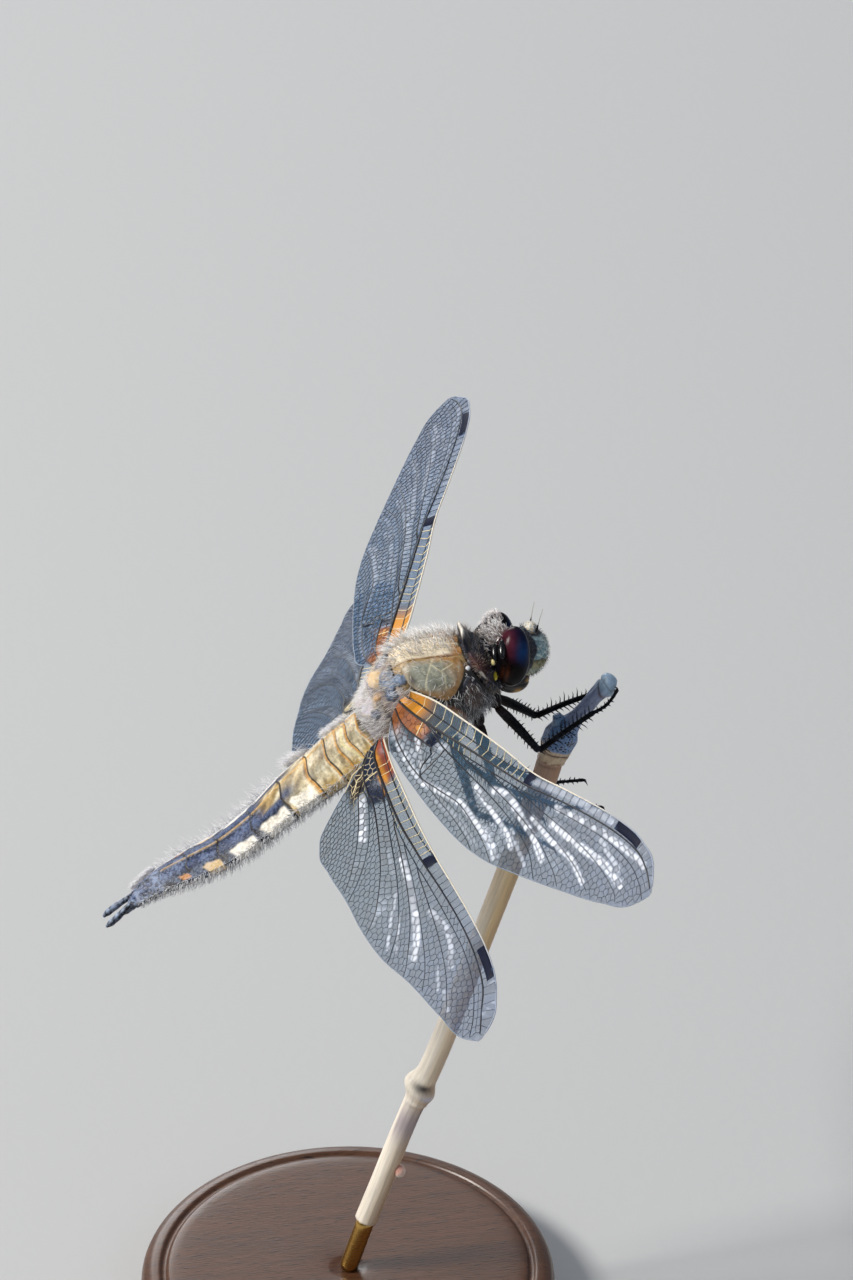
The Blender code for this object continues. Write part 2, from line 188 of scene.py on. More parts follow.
def make_piece(name, points, faces, finish, slot, stands_for=(), marks=(), patch=None):
    """One mesh piece in metres that rides on the body, its faces turned outwards by their volume.
    marks are values or colours for each point, and patch is a UV place for each point."""
    points = np.asarray(points, float)
    corners = [points[f[:, :3]] for f in faces]
    corners += [points[f[:, [0, 2, 3]]] for f in faces if f.shape[1] == 4]
    inside_out = sum(np.linalg.det(c - points.mean(0)).sum() for c in corners) < 0
    faces = [f[:, ::-1] if inside_out else f for f in faces]
    sizes = np.concatenate([np.full(len(f), f.shape[1]) for f in faces])
    index = np.concatenate([f.ravel() for f in faces]).astype(np.int32)
    mesh = bpy.data.meshes.new(name)
    mesh.vertices.add(len(points))
    mesh.vertices.foreach_set("co", (points * MM).astype(np.float32).ravel())
    mesh.loops.add(len(index))
    mesh.loops.foreach_set("vertex_index", index)
    mesh.polygons.add(len(sizes))
    mesh.polygons.foreach_set("loop_start", np.concatenate([[0], np.cumsum(sizes)[:-1]]).astype(np.int32))
    mesh.update(calc_edges=True)
    mesh.shade_smooth()
    for mark, values in dict(marks).items():
        values = np.asarray(values, np.float32)
        kind, field = {1: ("FLOAT", "value"), 3: ("FLOAT_VECTOR", "vector"), 4: ("FLOAT_COLOR", "color")}[
            1 if values.ndim == 1 else values.shape[1]]
        mesh.attributes.new(mark, kind, "POINT").data.foreach_set(field, values.ravel())
    if patch is not None:
        mesh.uv_layers.new(name="OFBake").data.foreach_set("uv", patch[index].astype(np.float32).ravel())
    mesh.materials.append(finish)
    made = bpy.data.objects.new(name, mesh)
    bpy.context.scene.collection.objects.link(made)
    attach(made, "root")
    if stands_for:
        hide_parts(*stands_for)
    return made


def with_poles(values):
    """Marks given on rings, continued to the two end points that closed_rings adds."""
    flat = values.reshape(values.shape[0] * values.shape[1], -1)
    whole = np.concatenate([flat, flat[:1], flat[-values.shape[1]:][:1]])
    return whole[:, 0] if whole.shape[1] == 1 else whole


def cast(name, rings, finish, slot, stands_for=(), **marks):
    """One closed piece through rings of points. Each mark is given on the rings, or is one value
    for a whole ring or for the whole piece; 'tint' has four parts and 'grain' three."""
    for mark, values in marks.items():
        parts = {"tint": (4,), "grain": (3,)}.get(mark, ())
        marks[mark] = with_poles(np.broadcast_to(values, (*rings.shape[:2], *parts)))
    return make_piece(name, *closed_rings(rings), finish, slot, stands_for, marks)


def smooth_path(points, count):
    """A Catmull-Rom curve through points, at count even steps of their numbering. Works in any
    number of columns, so that a radius can go along with a place."""
    points = np.asarray(points, float)
    ends = np.vstack([2 * points[0] - points[1], points, 2 * points[-1] - points[-2]])
    at = np.linspace(0, len(points) - 1, count)
    i = np.minimum(at.astype(int), len(points) - 2)
    t = (at - i)[:, None]
    a, b, c, d = (ends[i + k] for k in range(4))
    return 0.5 * (2 * b + (c - a) * t + (2 * a - 5 * b + 4 * c - d) * t**2 + (3 * b - a - 3 * c + d) * t**3)


def swept(path, radii, sides=16, flat=1.0, reference=(0.0, 1.0, 0.0)):
    """Rings square to a path: each is a circle of its radius, flattened along the reference."""
    path, radii = np.asarray(path, float), np.asarray(radii, float)
    heading = np.gradient(path, axis=0)
    heading /= np.linalg.norm(heading, axis=1, keepdims=True)
    across = np.cross(heading, reference)
    across /= np.linalg.norm(across, axis=1, keepdims=True)
    over = np.cross(across, heading)
    angles = circle(sides)
    cosine, sine = np.cos(angles)[None, :, None], np.sin(angles)[None, :, None]
    offset = across[:, None] * cosine + over[:, None] * sine * flat
    return path[:, None] + offset * radii.reshape(len(path), -1, 1)


def rounded(profile, steps=5, share=0.35):
    """A profile with each inner corner replaced by a short quadratic curve."""
    profile = np.asarray(profile, float)
    made = [profile[:1]]
    for before, corner_point, after in zip(profile, profile[1:], profile[2:]):
        t = np.linspace(0, 1, steps)[:, None]
        start = corner_point + (before - corner_point) * share
        end = corner_point + (after - corner_point) * share
        made.append(start * (1 - t) ** 2 + 2 * corner_point * t * (1 - t) + end * t**2)
    return np.concatenate([*made, profile[-1:]])


# oiled beech: growth bands cross the disc, with short dark rays between them
wood, tree, shader = start_material("oiled_stained_beech")
place_in_wood = add(tree, "Mapping", {"Vector": own_place(tree),
                                      "Scale": (90.0, 900.0, 400.0), "Rotation": (0.0, 0.0, 0.35)})
bands = add(
    tree, "TexNoise", {"Vector": place_in_wood.outputs[0], "Scale": 1.6, "Detail": 5.0, "Distortion": 0.6})
pores = add(tree, "TexNoise", {"Vector": place_in_wood.outputs[0], "Scale": 9.0, "Detail": 2.0})
pore_mask = add(tree, "MapRange", {"Value": pores.outputs[0], "From Min": 0.58, "From Max": 0.68})
stain = add(tree, "Mix", {0: bands.outputs[0], 6: linear(WOOD_DARK), 7: linear(WOOD_LIGHT)},
            data_type="RGBA")
pored = add(tree, "Mix", {0: pore_mask.outputs[0], 6: stain.outputs[2], 7: linear(PORE_COLOUR)},
            data_type="RGBA")
plug(tree, shader, {
    "Base Color": pored.outputs[2],
    "Roughness": add(tree, "MapRange", {"Value": bands.outputs[0], "To Min": 0.3,
                                        "To Max": 0.5}).outputs[0],
    "Coat Weight": 0.25, "Coat Roughness": 0.2,
    "Normal": add(tree, "Bump", {"Height": pores.outputs[0], "Strength": 0.25,
                                 "Distance": 0.0001}).outputs[0],
})
disc = rounded(DISC_PROFILE[1:-1])
angles = circle(128)
disc_rings = np.stack([disc[:, :1] * np.cos(angles), disc[:, :1] * np.sin(angles),
                       np.repeat(disc[:, 1:], len(angles), axis=1)], axis=2)
cast("stand_disc", disc_rings, wood, "stand_wood", ["stand_base"])

# drawn brass: fine lines run round the rod where it was polished in a lathe
brass, tree, shader = start_material("polished_brass")
lathe = add(tree, "Mapping", {"Vector": own_place(tree), "Scale": (100.0, 100.0, 9000.0)})
rings_noise = add(tree, "TexNoise", {"Vector": lathe.outputs[0], "Scale": 1.0, "Detail": 3.0})
plug(tree, shader, {
    "Base Color": add(tree, "Mix", {0: rings_noise.outputs[0], 6: linear(BRASS_COLOUR),
                                    7: linear(BRASS_DEEP)},
                      data_type="RGBA").outputs[2],
    "Metallic": 1.0,
    "Roughness": add(tree, "MapRange", {"Value": rings_noise.outputs[0], "To Min": 0.18,
                                        "To Max": 0.36}).outputs[0],
})
rod_path = np.linspace(ROD_ENDS[0], ROD_ENDS[1], 12)
rod_radii = ROD_RADIUS * np.array([0.86, 1, 1, 1, 1, 1, 1, 1, 1, 1, 1, 0.86])
cast("stand_pin", swept(rod_path, rod_radii, 40), brass, "stand_brass", ["stand_rod"])

# Stem. A dead plant stem: a smooth straw-coloured shaft with fine ribs, one swollen joint and a
# small bud, and a worn top where the shoot broke off above a speckled knot. It is one plant, in
# two lengths that meet at the brown ring below the knot, and its foot is sawn square.
STEM_TOP = (
    (16.52, -0.82, 0.28), (16.42, -0.96, 0.60), (16.2, -1.25, 0.72), (15.75, -1.8, 0.70),
    (15.0, -2.7, 0.66), (13.6, -4.5, 0.66), (12.95, -5.3, 0.92), (12.45, -5.95, 1.3),
    (11.95, -6.9, 1.42), (11.6, -7.75, 1.36), (11.38, -8.35, 1.16), (11.25, -8.7, 1.16),
)
STUB = ((12.05, -6.3, 0.42), (11.85, -5.6, 0.5), (11.85, -4.9, 0.46), (11.92, -4.42, 0.5),
        (11.95, -4.26, 0.3))
SHAFT_LINE = (
    (-8.55, 11.29), (-10.3, 10.85), (-18.0, 8.3), (-29.2, 4.62), (-37.4, 1.95), (-40.0, 1.0), (-42.2, 0.1),
    (-44.1, -0.65), (-47.7, -1.95), (-51.9, -3.35), (-56.0, -4.78),
)
SHAFT_RADIUS = ((-8.55, 1.12), (-10.3, 1.1), (-18.0, 1.0), (-27.5, 0.96), (-37.1, 0.99), (-41.0, 1.0),
                (-45.0, 0.93), (-56.0, 0.98))
JOINT_HEIGHT, JOINT_BULGE = -42.3, 0.50
BUD_PLACE, BUD_SIZES = (-1.95, -0.74, -50.55), (0.48, 0.48, 0.6)
LEFT_WAY, FLARE_WAY = (-0.98, 0.19, 0.0), (0.5, -0.57, -0.65)
SCAR_WAY, LIP_WAY = (-0.14, -0.99, 0.0), (0.32, -0.947, 0.0)
TOP_ROWS, TOP_SIDES, STUB_ROWS, STUB_SIDES, SHAFT_ROWS, SHAFT_SIDES = 150, 64, 40, 36, 420, 72
TIP_BLUE, NECK_LILAC, KNOT_BLUE, SPECK_COLOUR = "#A9C4DC", "#8E99B8", "#6C8CB8", "#0A1226"
RING_BROWN, PINK_BROWN, STRAW, CREAM, GREY_LILAC = "#5B3D2A", "#B08A70", "#EBCB96", "#F6E6CE", "#A89AA3"
NECK_STRAW, STUB_BLUE, SHADE_TAN, EDGE_ORANGE = "#C9B090", "#5B7FA6", "#A9764A", "#B9743A"
LIT_SIDE_CREAM, JOINT_PAINTED_SHADOW, LIP_LILAC, SCAR_DARK = "#FFF6E6", "#53301E", "#C9C6D6", "#2A1A1C"
BUD_PINK, BUD_PALE = "#E2A896", "#FFFBEA"


def blended(first, second, share):
    """Colours between two, by a share for each point: plain linear mixing."""
    share = np.clip(np.asarray(share, float), 0, 1)[..., None]
    return first * (1 - share) + second * share


def layered(base, *coats):
    """Colours built up like paint: over a base, each coat's colour covers by its share."""
    tint = linear(base) if isinstance(base, str) else base
    for colour, share in coats:
        tint = blended(tint, linear(colour), share)
    return tint


def step(low, high, value):
    """0 below low and 1 above high, with a smooth cubic rise between."""
    t = np.clip((np.asarray(value, float) - low) / (high - low), 0, 1)
    return t * t * (3 - 2 * t)


def hump(value, middle, width):
    """A bell that is 1 at its middle and falls off over the width."""
    return np.exp(-(((np.asarray(value, float) - middle) / width) ** 2))


def bark(name, streak, speck_from):
    """Dry stem skin: the mark 'tint' streaked along the grain, with dark specks where a noise in
    the mark 'grain' passes a limit, and fine ribs in the bump."""
    made, tree, shader = start_material(name)
    tint = add(tree, "Attribute", attribute_name="tint")
    speckled = add(tree, "Attribute", attribute_name="speckled")
    grain = add(tree, "Attribute", attribute_name="grain")
    fibres = add(tree, "Mapping", {"Vector": grain.outputs["Vector"], "Scale": (1.0, 1.0, 0.06)})
    fibre = add(tree, "TexNoise", {"Vector": fibres.outputs[0], "Scale": 5.5, "Detail": 4.0})
    blotch = add(tree, "TexNoise", {"Vector": grain.outputs["Vector"], "Scale": 0.9, "Detail": 3.0})
    spots = add(tree, "TexVoronoi", {"Vector": grain.outputs["Vector"], "Scale": 4.6, "Randomness": 1.0})
    spot_edge = add(tree, "Math", {0: spots.outputs["Distance"], 1: blotch.outputs[0]}, operation="ADD")
    spot = add(tree, "MapRange", {"Value": spot_edge.outputs[0], "From Min": speck_from,
                                  "From Max": speck_from - 0.12})
    spot_here = add(tree, "Math", {0: spot.outputs[0], 1: speckled.outputs["Fac"]}, operation="MULTIPLY")
    tone = add(tree, "MapRange", {"Value": fibre.outputs[0], "From Min": 0.3, "From Max": 0.7,
                                  "To Min": 1 - streak, "To Max": 1 + streak * 0.6})
    toned = add(tree, "VectorMath", {0: tint.outputs["Color"], "Scale": tone.outputs[0]}, operation="SCALE")
    speckle = add(tree, "Mix", {0: spot_here.outputs[0], 6: toned.outputs[0], 7: linear(SPECK_COLOUR)},
                  data_type="RGBA")
    height = add(tree, "Math", {0: fibre.outputs[0], 1: spot_here.outputs[0]}, operation="SUBTRACT")
    plug(tree, shader, {
        "Base Color": speckle.outputs[2],
        "Roughness": add(tree, "MapRange", {"Value": blotch.outputs[0], "To Min": 0.28,
                                            "To Max": 0.52}).outputs[0],
        "Coat Weight": 0.15, "Coat Roughness": 0.3,
        "Normal": add(tree, "Bump", {"Height": height.outputs[0], "Strength": 0.35,
                                     "Distance": 0.00006}).outputs[0],
    })
    return made


def grain_marks(rings, along):
    """For each point of a swept skin, its place across the section and its length along the path."""
    section = rings - rings.mean(axis=1, keepdims=True)
    return np.dstack([section[..., 0], section[..., 1] + section[..., 2] * 0.3,
                      np.repeat(along[:, None], rings.shape[1], axis=1)])


# Worn top: the path and its radius are one smooth curve; a slanting crease and soft lumps are
# taken from the radius
top_line = smooth_path(STEM_TOP, TOP_ROWS)
top_path = np.stack([top_line[:, 0], np.zeros(TOP_ROWS), top_line[:, 1]], axis=1)
top_along = np.concatenate([[0], np.cumsum(np.linalg.norm(np.diff(top_path, axis=0), axis=1))])
turns = circle(TOP_SIDES)[None]
s = top_along[:, None]
crease = hump(s + 0.55 * np.cos(turns - 2.0), 1.35, 0.13)
crease = crease + 0.5 * hump(s - 0.3 * np.cos(turns - 0.6), 1.0, 0.09)
lumps = 0.05 * np.sin(3 * turns + s) + 0.035 * np.sin(5 * turns - 2.3 * s)
lumps = lumps + 0.02 * np.sin(9 * turns + 4 * s)
top_spokes = swept(top_path, np.ones(TOP_ROWS), TOP_SIDES) - top_path[:, None]
top_radii = top_line[:, 2:] * (1 + lumps * step(0.0, 0.6, s)) - 0.13 * crease * step(0.3, 0.7, s)
top_radii = top_radii - 0.07 * hump(s, 8.5, 0.15)
top_radii = top_radii + 0.36 * hump(s, 1.25, 0.7) * np.clip(top_spokes @ FLARE_WAY, 0, 1)
top_rings = top_path[:, None] + top_spokes * top_radii[..., None] + BODY_PLACE
knot_zone = step(4.9, 6.2, s) * (1 - step(7.8, 8.05, s))
top_tint = layered(
    TIP_BLUE,
    (NECK_LILAC, step(1.0, 1.9, s)),
    (KNOT_BLUE, step(4.9, 6.1, s)),
    (NECK_STRAW, step(7.95, 8.2, s)),
    (RING_BROWN, hump(s, 8.5, 0.11) + 0.75 * crease),
)
knot_bark = bark("weathered_stem_tip", 0.25, 0.98)
cast("stem_top", top_rings, knot_bark, "dry_stem", ["stem_top"], tint=top_tint,
     grain=grain_marks(top_rings, top_along),
     speckled=np.maximum(knot_zone, 0.3 * step(1.8, 3.0, s) * (1 - step(7.8, 8.05, s))))

stub_line = smooth_path(STUB, STUB_ROWS)
stub_path = np.stack([stub_line[:, 0], np.zeros(STUB_ROWS), stub_line[:, 1]], axis=1)
stub_rings = swept(stub_path, stub_line[:, 2], STUB_SIDES) + BODY_PLACE
cast("stem_stub", stub_rings, knot_bark, "dry_stem", ["stem_stub"], tint=linear(STUB_BLUE),
     grain=grain_marks(stub_rings, stub_line[:, 1]), speckled=0.7)

# Shaft: the radius is an even taper, plus the joint's swelling with its collar and groove, and
# eleven shallow ribs
z = np.linspace(SHAFT_LINE[0][0], SHAFT_LINE[-1][0], SHAFT_ROWS)
line_z, line_x = np.array(SHAFT_LINE)[::-1].T
soft = np.hanning(25) / np.hanning(25).sum()
x = np.convolve(np.pad(np.interp(z, line_z, line_x), 12, mode="reflect", reflect_type="odd"), soft, "valid")
radius_z, radius = np.array(SHAFT_RADIUS)[::-1].T
shaft_path = np.stack([x, np.zeros_like(z), z], axis=1)
shaft_along = np.concatenate([[0], np.cumsum(np.linalg.norm(np.diff(shaft_path, axis=0), axis=1))])
turns = circle(SHAFT_SIDES)[None]
height = z[:, None]
spokes = swept(shaft_path, np.ones(SHAFT_ROWS), SHAFT_SIDES) - shaft_path[:, None]
leftward, scarward, lipward = (spokes @ way for way in (LEFT_WAY, SCAR_WAY, LIP_WAY))
collar = JOINT_BULGE * (1 + 0.25 * leftward) * hump(height, JOINT_HEIGHT + 0.35 * leftward, 0.85)
collar += 0.12 * hump(height, JOINT_HEIGHT - 1.25, 0.2) * step(0.2, 0.8, scarward)
ribs = 0.010 * np.cos(11 * turns) + 0.006 * np.cos(23 * turns + 1)
ring_lip = 0.03 * hump(height, -8.75, 0.14) - 0.04 * hump(height, -9.0, 0.12)
shaft_radii = np.interp(z, radius_z, radius)[:, None] * (1 + ribs) + collar + ring_lip
off_scar, off_lip = (np.arccos(np.clip(way, -1, 1)) for way in (scarward, lipward))
scar = hump(height, JOINT_HEIGHT + 0.5 + 0.22 * off_scar**2, 0.32) * hump(off_scar, 0, 0.8)
scar_lip = hump(height, JOINT_HEIGHT - 0.25 + 0.3 * off_lip**2, 0.3) * hump(off_lip, 0, 0.55)
shaft_radii = shaft_radii - 0.34 * scar + 0.10 * scar_lip
shaft_rings = shaft_path[:, None] + spokes * shaft_radii[..., None] + BODY_PLACE
# painted light and shade: the shaft's left side is lightened towards cream as if sunlit, and its right side
# darkened to tan as if shaded
shaded_side = step(0.0, 0.8, -leftward)
shaft_tint = layered(
    PINK_BROWN,
    (STRAW, step(-10.5, -19.0, height)),
    (CREAM, 0.75 * step(-26.0, -42.0, height)),
    (RING_BROWN, 0.6 * hump(height, -8.95, 0.14)),
    (SHADE_TAN, 0.55 * shaded_side),
    (EDGE_ORANGE, 0.7 * step(0.9, 0.99, leftward)),
    (LIT_SIDE_CREAM, 0.8 * step(-0.2, 0.5, leftward) * step(-14.0, -30.0, height)),
    (GREY_LILAC, 0.8 * hump(height, -45.6, 1.8) * step(0.1, 0.6, scarward)),
    # painted shadow: dark brown on the right side below the joint, where the swelling casts its shade
    (JOINT_PAINTED_SHADOW, 0.9 * hump(height, -44.8, 1.1) * step(0.5, 0.9, -leftward)),
    (LIP_LILAC, 0.9 * scar_lip),
    (SCAR_DARK, 0.95 * scar),
)
straw_bark = bark("dry_straw_stem", 0.16, 0.30)
cast("stem_shaft", shaft_rings, straw_bark, "dry_stem", ["stem_shaft"], tint=shaft_tint,
     grain=grain_marks(shaft_rings, shaft_along), speckled=0.5)

# Bud: a small closed egg on the right of the shaft, pressed against it, with two overlapping scales
polar = np.linspace(0.12, np.pi - 0.12, 24)[:, None]
turns = circle(32)[None]
swell = 1 + 0.08 * np.sign(np.sin(turns + 1.5 * polar)) * np.abs(np.sin(turns + 1.5 * polar)) ** 0.5
bud_rings = ball(polar, turns) * np.dstack([swell, swell, swell**0]) * BUD_SIZES + BODY_PLACE + BUD_PLACE
bud_tint = layered(BUD_PINK, (BUD_PALE, step(1.6, 2.4, polar) + 0.3 * hump(swell, 1.08, 0.06)))
cast("stem_bud", bud_rings, straw_bark, "dry_stem", tint=bud_tint, grain=bud_rings, speckled=0.3)

# Thorax. A box of hard chitin packed with wing muscle: tan plates that bulge a little between
# sunk dark seams, a keel down the middle of the front, pale branching lines on the two shoulder
# plates, and a knobbly deck between the wing roots. Fine pits cover it, and long fur stands in them.
BODY_PITCH = radians(33.7)
THORAX = (
    (-5.2, 1.7, 2.6, -0.3, -2.7), (-4.4, 2.2, 3.0, -0.3, -3.4), (-3.0, 3.0, 3.4, -0.2, -4.0),
    (-1.2, 3.9, 3.7, -0.2, -4.35), (0.8, 4.4, 3.85, -0.3, -4.45), (2.6, 3.55, 3.8, -0.5, -4.4),
    (4.1, 2.6, 3.5, -0.7, -4.2), (5.1, 1.8, 2.95, -0.9, -3.7),
)
COLLAR = ((5.2, 1.5, 2.6, -0.6, -3.4), (5.5, 1.75, 2.65, -0.6, -3.4), (5.9, 1.8, 2.7, -0.5, -3.3),
          (6.4, 1.0, 2.0, -0.8, -2.8), (6.9, -0.2, 1.0, -1.0, -1.9))
TAN, GREY_TAN, GOLD, RUST, CREAM_AND_HIGHLIGHT = "#B79765", "#9FA08E", "#BC8B4A", "#8A5530", "#F6E6C8"
SEAM_AND_SHADE_DARK, SHELL_BLACK, LINE_YELLOW, BLUE_GREY, LILAC = "#1E1714", "#15131A", "#F0E6BE", "#66768C", "#D8CDD2"
SIDE_BROWN, SIDE_YELLOW, PINK_SHELL, BLOOM_BLUE = "#4A3020", "#C9A961", "#8C5F56", "#A9B9D6"
WALL_BLACK, REAR_GREY, BLOTCH_BROWN, BLOTCH_PALE = "#120E0D", "#9A8C88", "#6F5636", "#D5CFB4"
LOW_OCHRE, SHOULDER_SPOT, CREST_ORANGE, COLLAR_SPOT = "#B98A4C", "#3A2B22", "#C98A3E", "#F5EFE2"
LOBE_CREAM = "#F3EBDC"
# shell plates of the right side: an outline of places along the body in mm and turns about it in
# degrees (90 is the crest, 180 the right side), the plate's height and its colours, middle then edge
PLATES = {
    "shoulder": (((0.35, 112), (1.2, 110), (2.5, 112), (3.7, 113), (4.6, 117), (4.85, 130), (4.5, 147),
                  (3.8, 160), (2.9, 170), (2.1, 172), (1.3, 161), (0.5, 145), (0.25, 127)),
                 0.17, GREY_TAN, GOLD),
    # the crest band's cream middle is partly a painted highlight
    "crest_band": (((-0.2, 93), (1.5, 92), (3.5, 92), (5.0, 93), (5.15, 110), (4.7, 114), (2.5, 109.5),
                    (0.6, 107), (-0.2, 102)), 0.06, CREAM_AND_HIGHLIGHT, TAN),
    "front_side": (((4.7, 152), (5.0, 175), (4.7, 205), (3.9, 222), (2.9, 214), (2.8, 190), (3.3, 172),
                    (4.1, 160)), 0.10, SIDE_BROWN, SHELL_BLACK),
    "middle_side": (((0.2, 160), (1.2, 172), (2.3, 182), (2.5, 205), (2.0, 226), (0.6, 232), (-0.5, 210),
                     (-1.1, 185), (-0.7, 165)), 0.16, TAN, RUST),
    "hind_side": (((-1.6, 196), (-0.8, 212), (0.1, 236), (-1.6, 244), (-3.4, 232), (-4.6, 214), (-4.4, 200),
                   (-2.8, 206)), 0.15, SIDE_YELLOW, RUST),
    "wing_deck": (((-0.3, 96), (-0.4, 112), (-0.9, 128), (-1.7, 128), (-2.1, 112), (-2.0, 97)), 0.16,
                  BLUE_GREY, SEAM_AND_SHADE_DARK),
    "hind_deck": (((-3.1, 96), (-3.0, 116), (-3.5, 130), (-4.4, 126), (-4.9, 108), (-4.6, 95)), 0.22, LILAC,
                  TAN),
}
PLATE_LINES = {
    "shoulder": (((2.96, 113.6), (2.24, 128.8), (1.52, 143.2), (1.2, 152)),
                 ((2.6, 120), (3.17, 138.9), (2.72, 156.2)),
                 ((3.1, 133), (4.1, 128))),
}
# knobs of the deck between the wings: middle, half sizes, turn to the side in degrees and colour
KNOBS = (
    ((-2.15, 0.0, 3.36), (0.9, 1.0, 0.58), 0, "#F0CF9C"),
    ((-3.05, 0.0, 2.95), (0.35, 1.2, 0.4), 0, "#7F6D66"),
    ((-0.25, -2.0, 3.45), (0.85, 0.6, 0.5), -35, BLUE_GREY),
    ((-0.25, 2.0, 3.45), (0.85, 0.6, 0.5), 35, BLUE_GREY),
    ((-1.45, -2.35, 2.75), (0.75, 0.55, 0.5), -20, "#4D5A70"),
    ((-1.45, 2.35, 2.75), (0.75, 0.55, 0.5), 20, "#4D5A70"),
    ((-1.2, -0.75, 3.75), (0.65, 0.45, 0.4), 10, "#8D8E9A"),
    ((-1.2, 0.75, 3.75), (0.65, 0.45, 0.4), -10, "#8D8E9A"),
    ((-3.6, -2.1, 1.95), (0.6, 0.5, 0.45), -25, "#5A5964"),
    ((-3.6, 2.1, 1.95), (0.6, 0.5, 0.45), 25, "#5A5964"),
    ((-4.3, 0.0, 2.2), (0.8, 0.6, 0.35), 0, "#C9B9B4"),
    ((-2.7, -1.5, 2.85), (0.5, 0.4, 0.3), 30, "#D0A36A"),
    ((-2.7, 1.5, 2.85), (0.5, 0.4, 0.3), -30, "#D0A36A"),
    ((4.95, -2.45, 0.9), (0.22, 0.2, 0.22), 0, "#FFFFFF"),
    ((4.95, 2.45, 0.9), (0.22, 0.2, 0.22), 0, "#FFFFFF"),
)


def body_to_world(points):
    """Places in body axes (forward, left, up) pitched up and moved to the middle of the thorax."""
    c, s = np.cos(BODY_PITCH), np.sin(BODY_PITCH)
    x, y, z = np.moveaxis(np.asarray(points, float), -1, 0)
    return np.stack([c * x - s * z, y, s * x + c * z], axis=-1) + BODY_PLACE


def trunk(stations, power, x, turn):
    """A body wall in body axes: at each x an oval whose top, widest line, width and underside are
    smooth curves through the stations; across = |cos|^(2/power), height = |sin|^(2/power)."""
    rows = smooth_path(stations, 500)
    crest, half, widest, under = (np.interp(x, rows[:, 0], rows[:, k]) for k in (1, 2, 3, 4))
    c, s = np.cos(turn), np.sin(turn)
    rise = np.where(s > 0, crest - widest, widest - under)
    across = np.sign(c) * np.abs(c) ** (2 / power) * half
    return np.stack([x + 0 * turn, across, widest + np.sign(s) * np.abs(s) ** (2 / power) * rise], axis=-1)


def outward(place, x, turn):
    """Unit normals of a surface place(x, turn), from its slopes along and round it."""
    along = place(x + 0.02, turn) - place(x - 0.02, turn)
    around = place(x, turn + 0.01) - place(x, turn - 0.01)
    normal = np.cross(around, along)
    return normal / np.maximum(np.linalg.norm(normal, axis=-1, keepdims=True), 1e-9)


def joined(parts):
    """Several closed skins as one mesh: all their points, and their faces by number of corners."""
    points, four, three, count = [], [], [], 0
    for made, faces in parts:
        points.append(made)
        for face in faces:
            (four if face.shape[1] == 4 else three).append(face + count)
        count += len(made)
    return np.concatenate(points), [np.concatenate(four), np.concatenate(three)]


def line_distance(points, line):
    """Distance of each flat point from a line through given places."""
    line = np.asarray(line, float)
    start, way = line[:-1], np.diff(line, axis=0)
    share = np.clip(((points[..., None, :] - start) * way).sum(-1) / (way**2).sum(-1), 0, 1)
    return np.linalg.norm(points[..., None, :] - start - share[..., None] * way, axis=-1).min(-1)


def off_crest(turn):
    """Degrees of a turn away from the crest, to either side."""
    return np.degrees(np.abs(np.arctan2(np.cos(turn), np.sin(turn))))


def chitin(name, mottle, gloss, pit_depth, shine=0.5, coat=0.15):
    """Shell: the mark 'tint' mottled by two noises, whitened where the mark 'bloom' lets a waxy
    dust show, and pitted with fine round dimples."""
    made, tree, shader = start_material(name)
    tint = add(tree, "Attribute", attribute_name="tint")
    bloom = add(tree, "Attribute", attribute_name="bloom")
    at = own_place(tree)
    broad = add(tree, "TexNoise", {"Vector": at, "Scale": 700.0, "Detail": 4.0, "Roughness": 0.6})
    fine = add(tree, "TexNoise", {"Vector": at, "Scale": 4200.0, "Detail": 3.0})
    pits = add(tree, "TexVoronoi", {"Vector": at, "Scale": 5200.0})
    both = add(tree, "Math", {0: broad.outputs[0], 1: fine.outputs[0]}, operation="ADD")
    tone = add(tree, "MapRange", {"Value": both.outputs[0], "From Min": 0.75, "From Max": 1.25,
                                  "To Min": 1 - mottle, "To Max": 1 + mottle * 0.7})
    toned = add(tree, "VectorMath", {0: tint.outputs["Color"], "Scale": tone.outputs[0]}, operation="SCALE")
    dust = add(tree, "MapRange", {"Value": both.outputs[0], "From Min": 0.9, "From Max": 1.2})
    dust_here = add(tree, "Math", {0: dust.outputs[0], 1: bloom.outputs["Fac"]}, operation="MULTIPLY")
    dusted = add(tree, "Mix", {0: dust_here.outputs[0], 6: toned.outputs[0], 7: linear(BLOOM_BLUE)},
                 data_type="RGBA")
    plug(tree, shader, {
        "Base Color": dusted.outputs[2],
        "Roughness": add(tree, "MapRange", {"Value": both.outputs[0], "From Min": 0.7, "From Max": 1.3,
                                            "To Min": gloss, "To Max": gloss + 0.22}).outputs[0],
        "Coat Weight": coat, "Coat Roughness": 0.25, "Specular IOR Level": shine,
        "Normal": add(tree, "Bump", {"Height": pits.outputs["Distance"], "Strength": pit_depth,
                                     "Distance": 0.00004}).outputs[0],
    })
    return made


tan_shell = chitin("tan_thorax_chitin", 0.22, 0.32, 0.35)


def wall(x, turn):
    """The thorax wall with its keel, a raised bead down the front crest, and two sunk side seams."""
    base = trunk(THORAX, 2.2, x, turn)
    flat = np.stack([x + 0 * turn, 0.065 * np.degrees(np.abs(turn - np.pi / 2)) + 0 * x], axis=-1)
    seams = np.minimum(line_distance(flat, ((2.2, 3.9), (3.1, 6.4), (3.0, 9.4))),
                       line_distance(flat, ((-1.9, 6.0), (-0.6, 8.0), (0.3, 10.0))))
    keel = 0.16 * hump(np.degrees(turn), 90, 2.2) * step(-0.6, 0.1, x) * (1 - step(4.9, 5.2, x))
    middle = base * (0, 0, 1) - (0, 0, 0.5)
    away = base * (0, 1, 1) - (0, 0, 0.3) + 0 * middle
    away /= np.maximum(np.linalg.norm(away, axis=-1, keepdims=True), 1e-6)
    return base + away * (keel - 0.14 * hump(seams, 0, 0.22))[..., None]


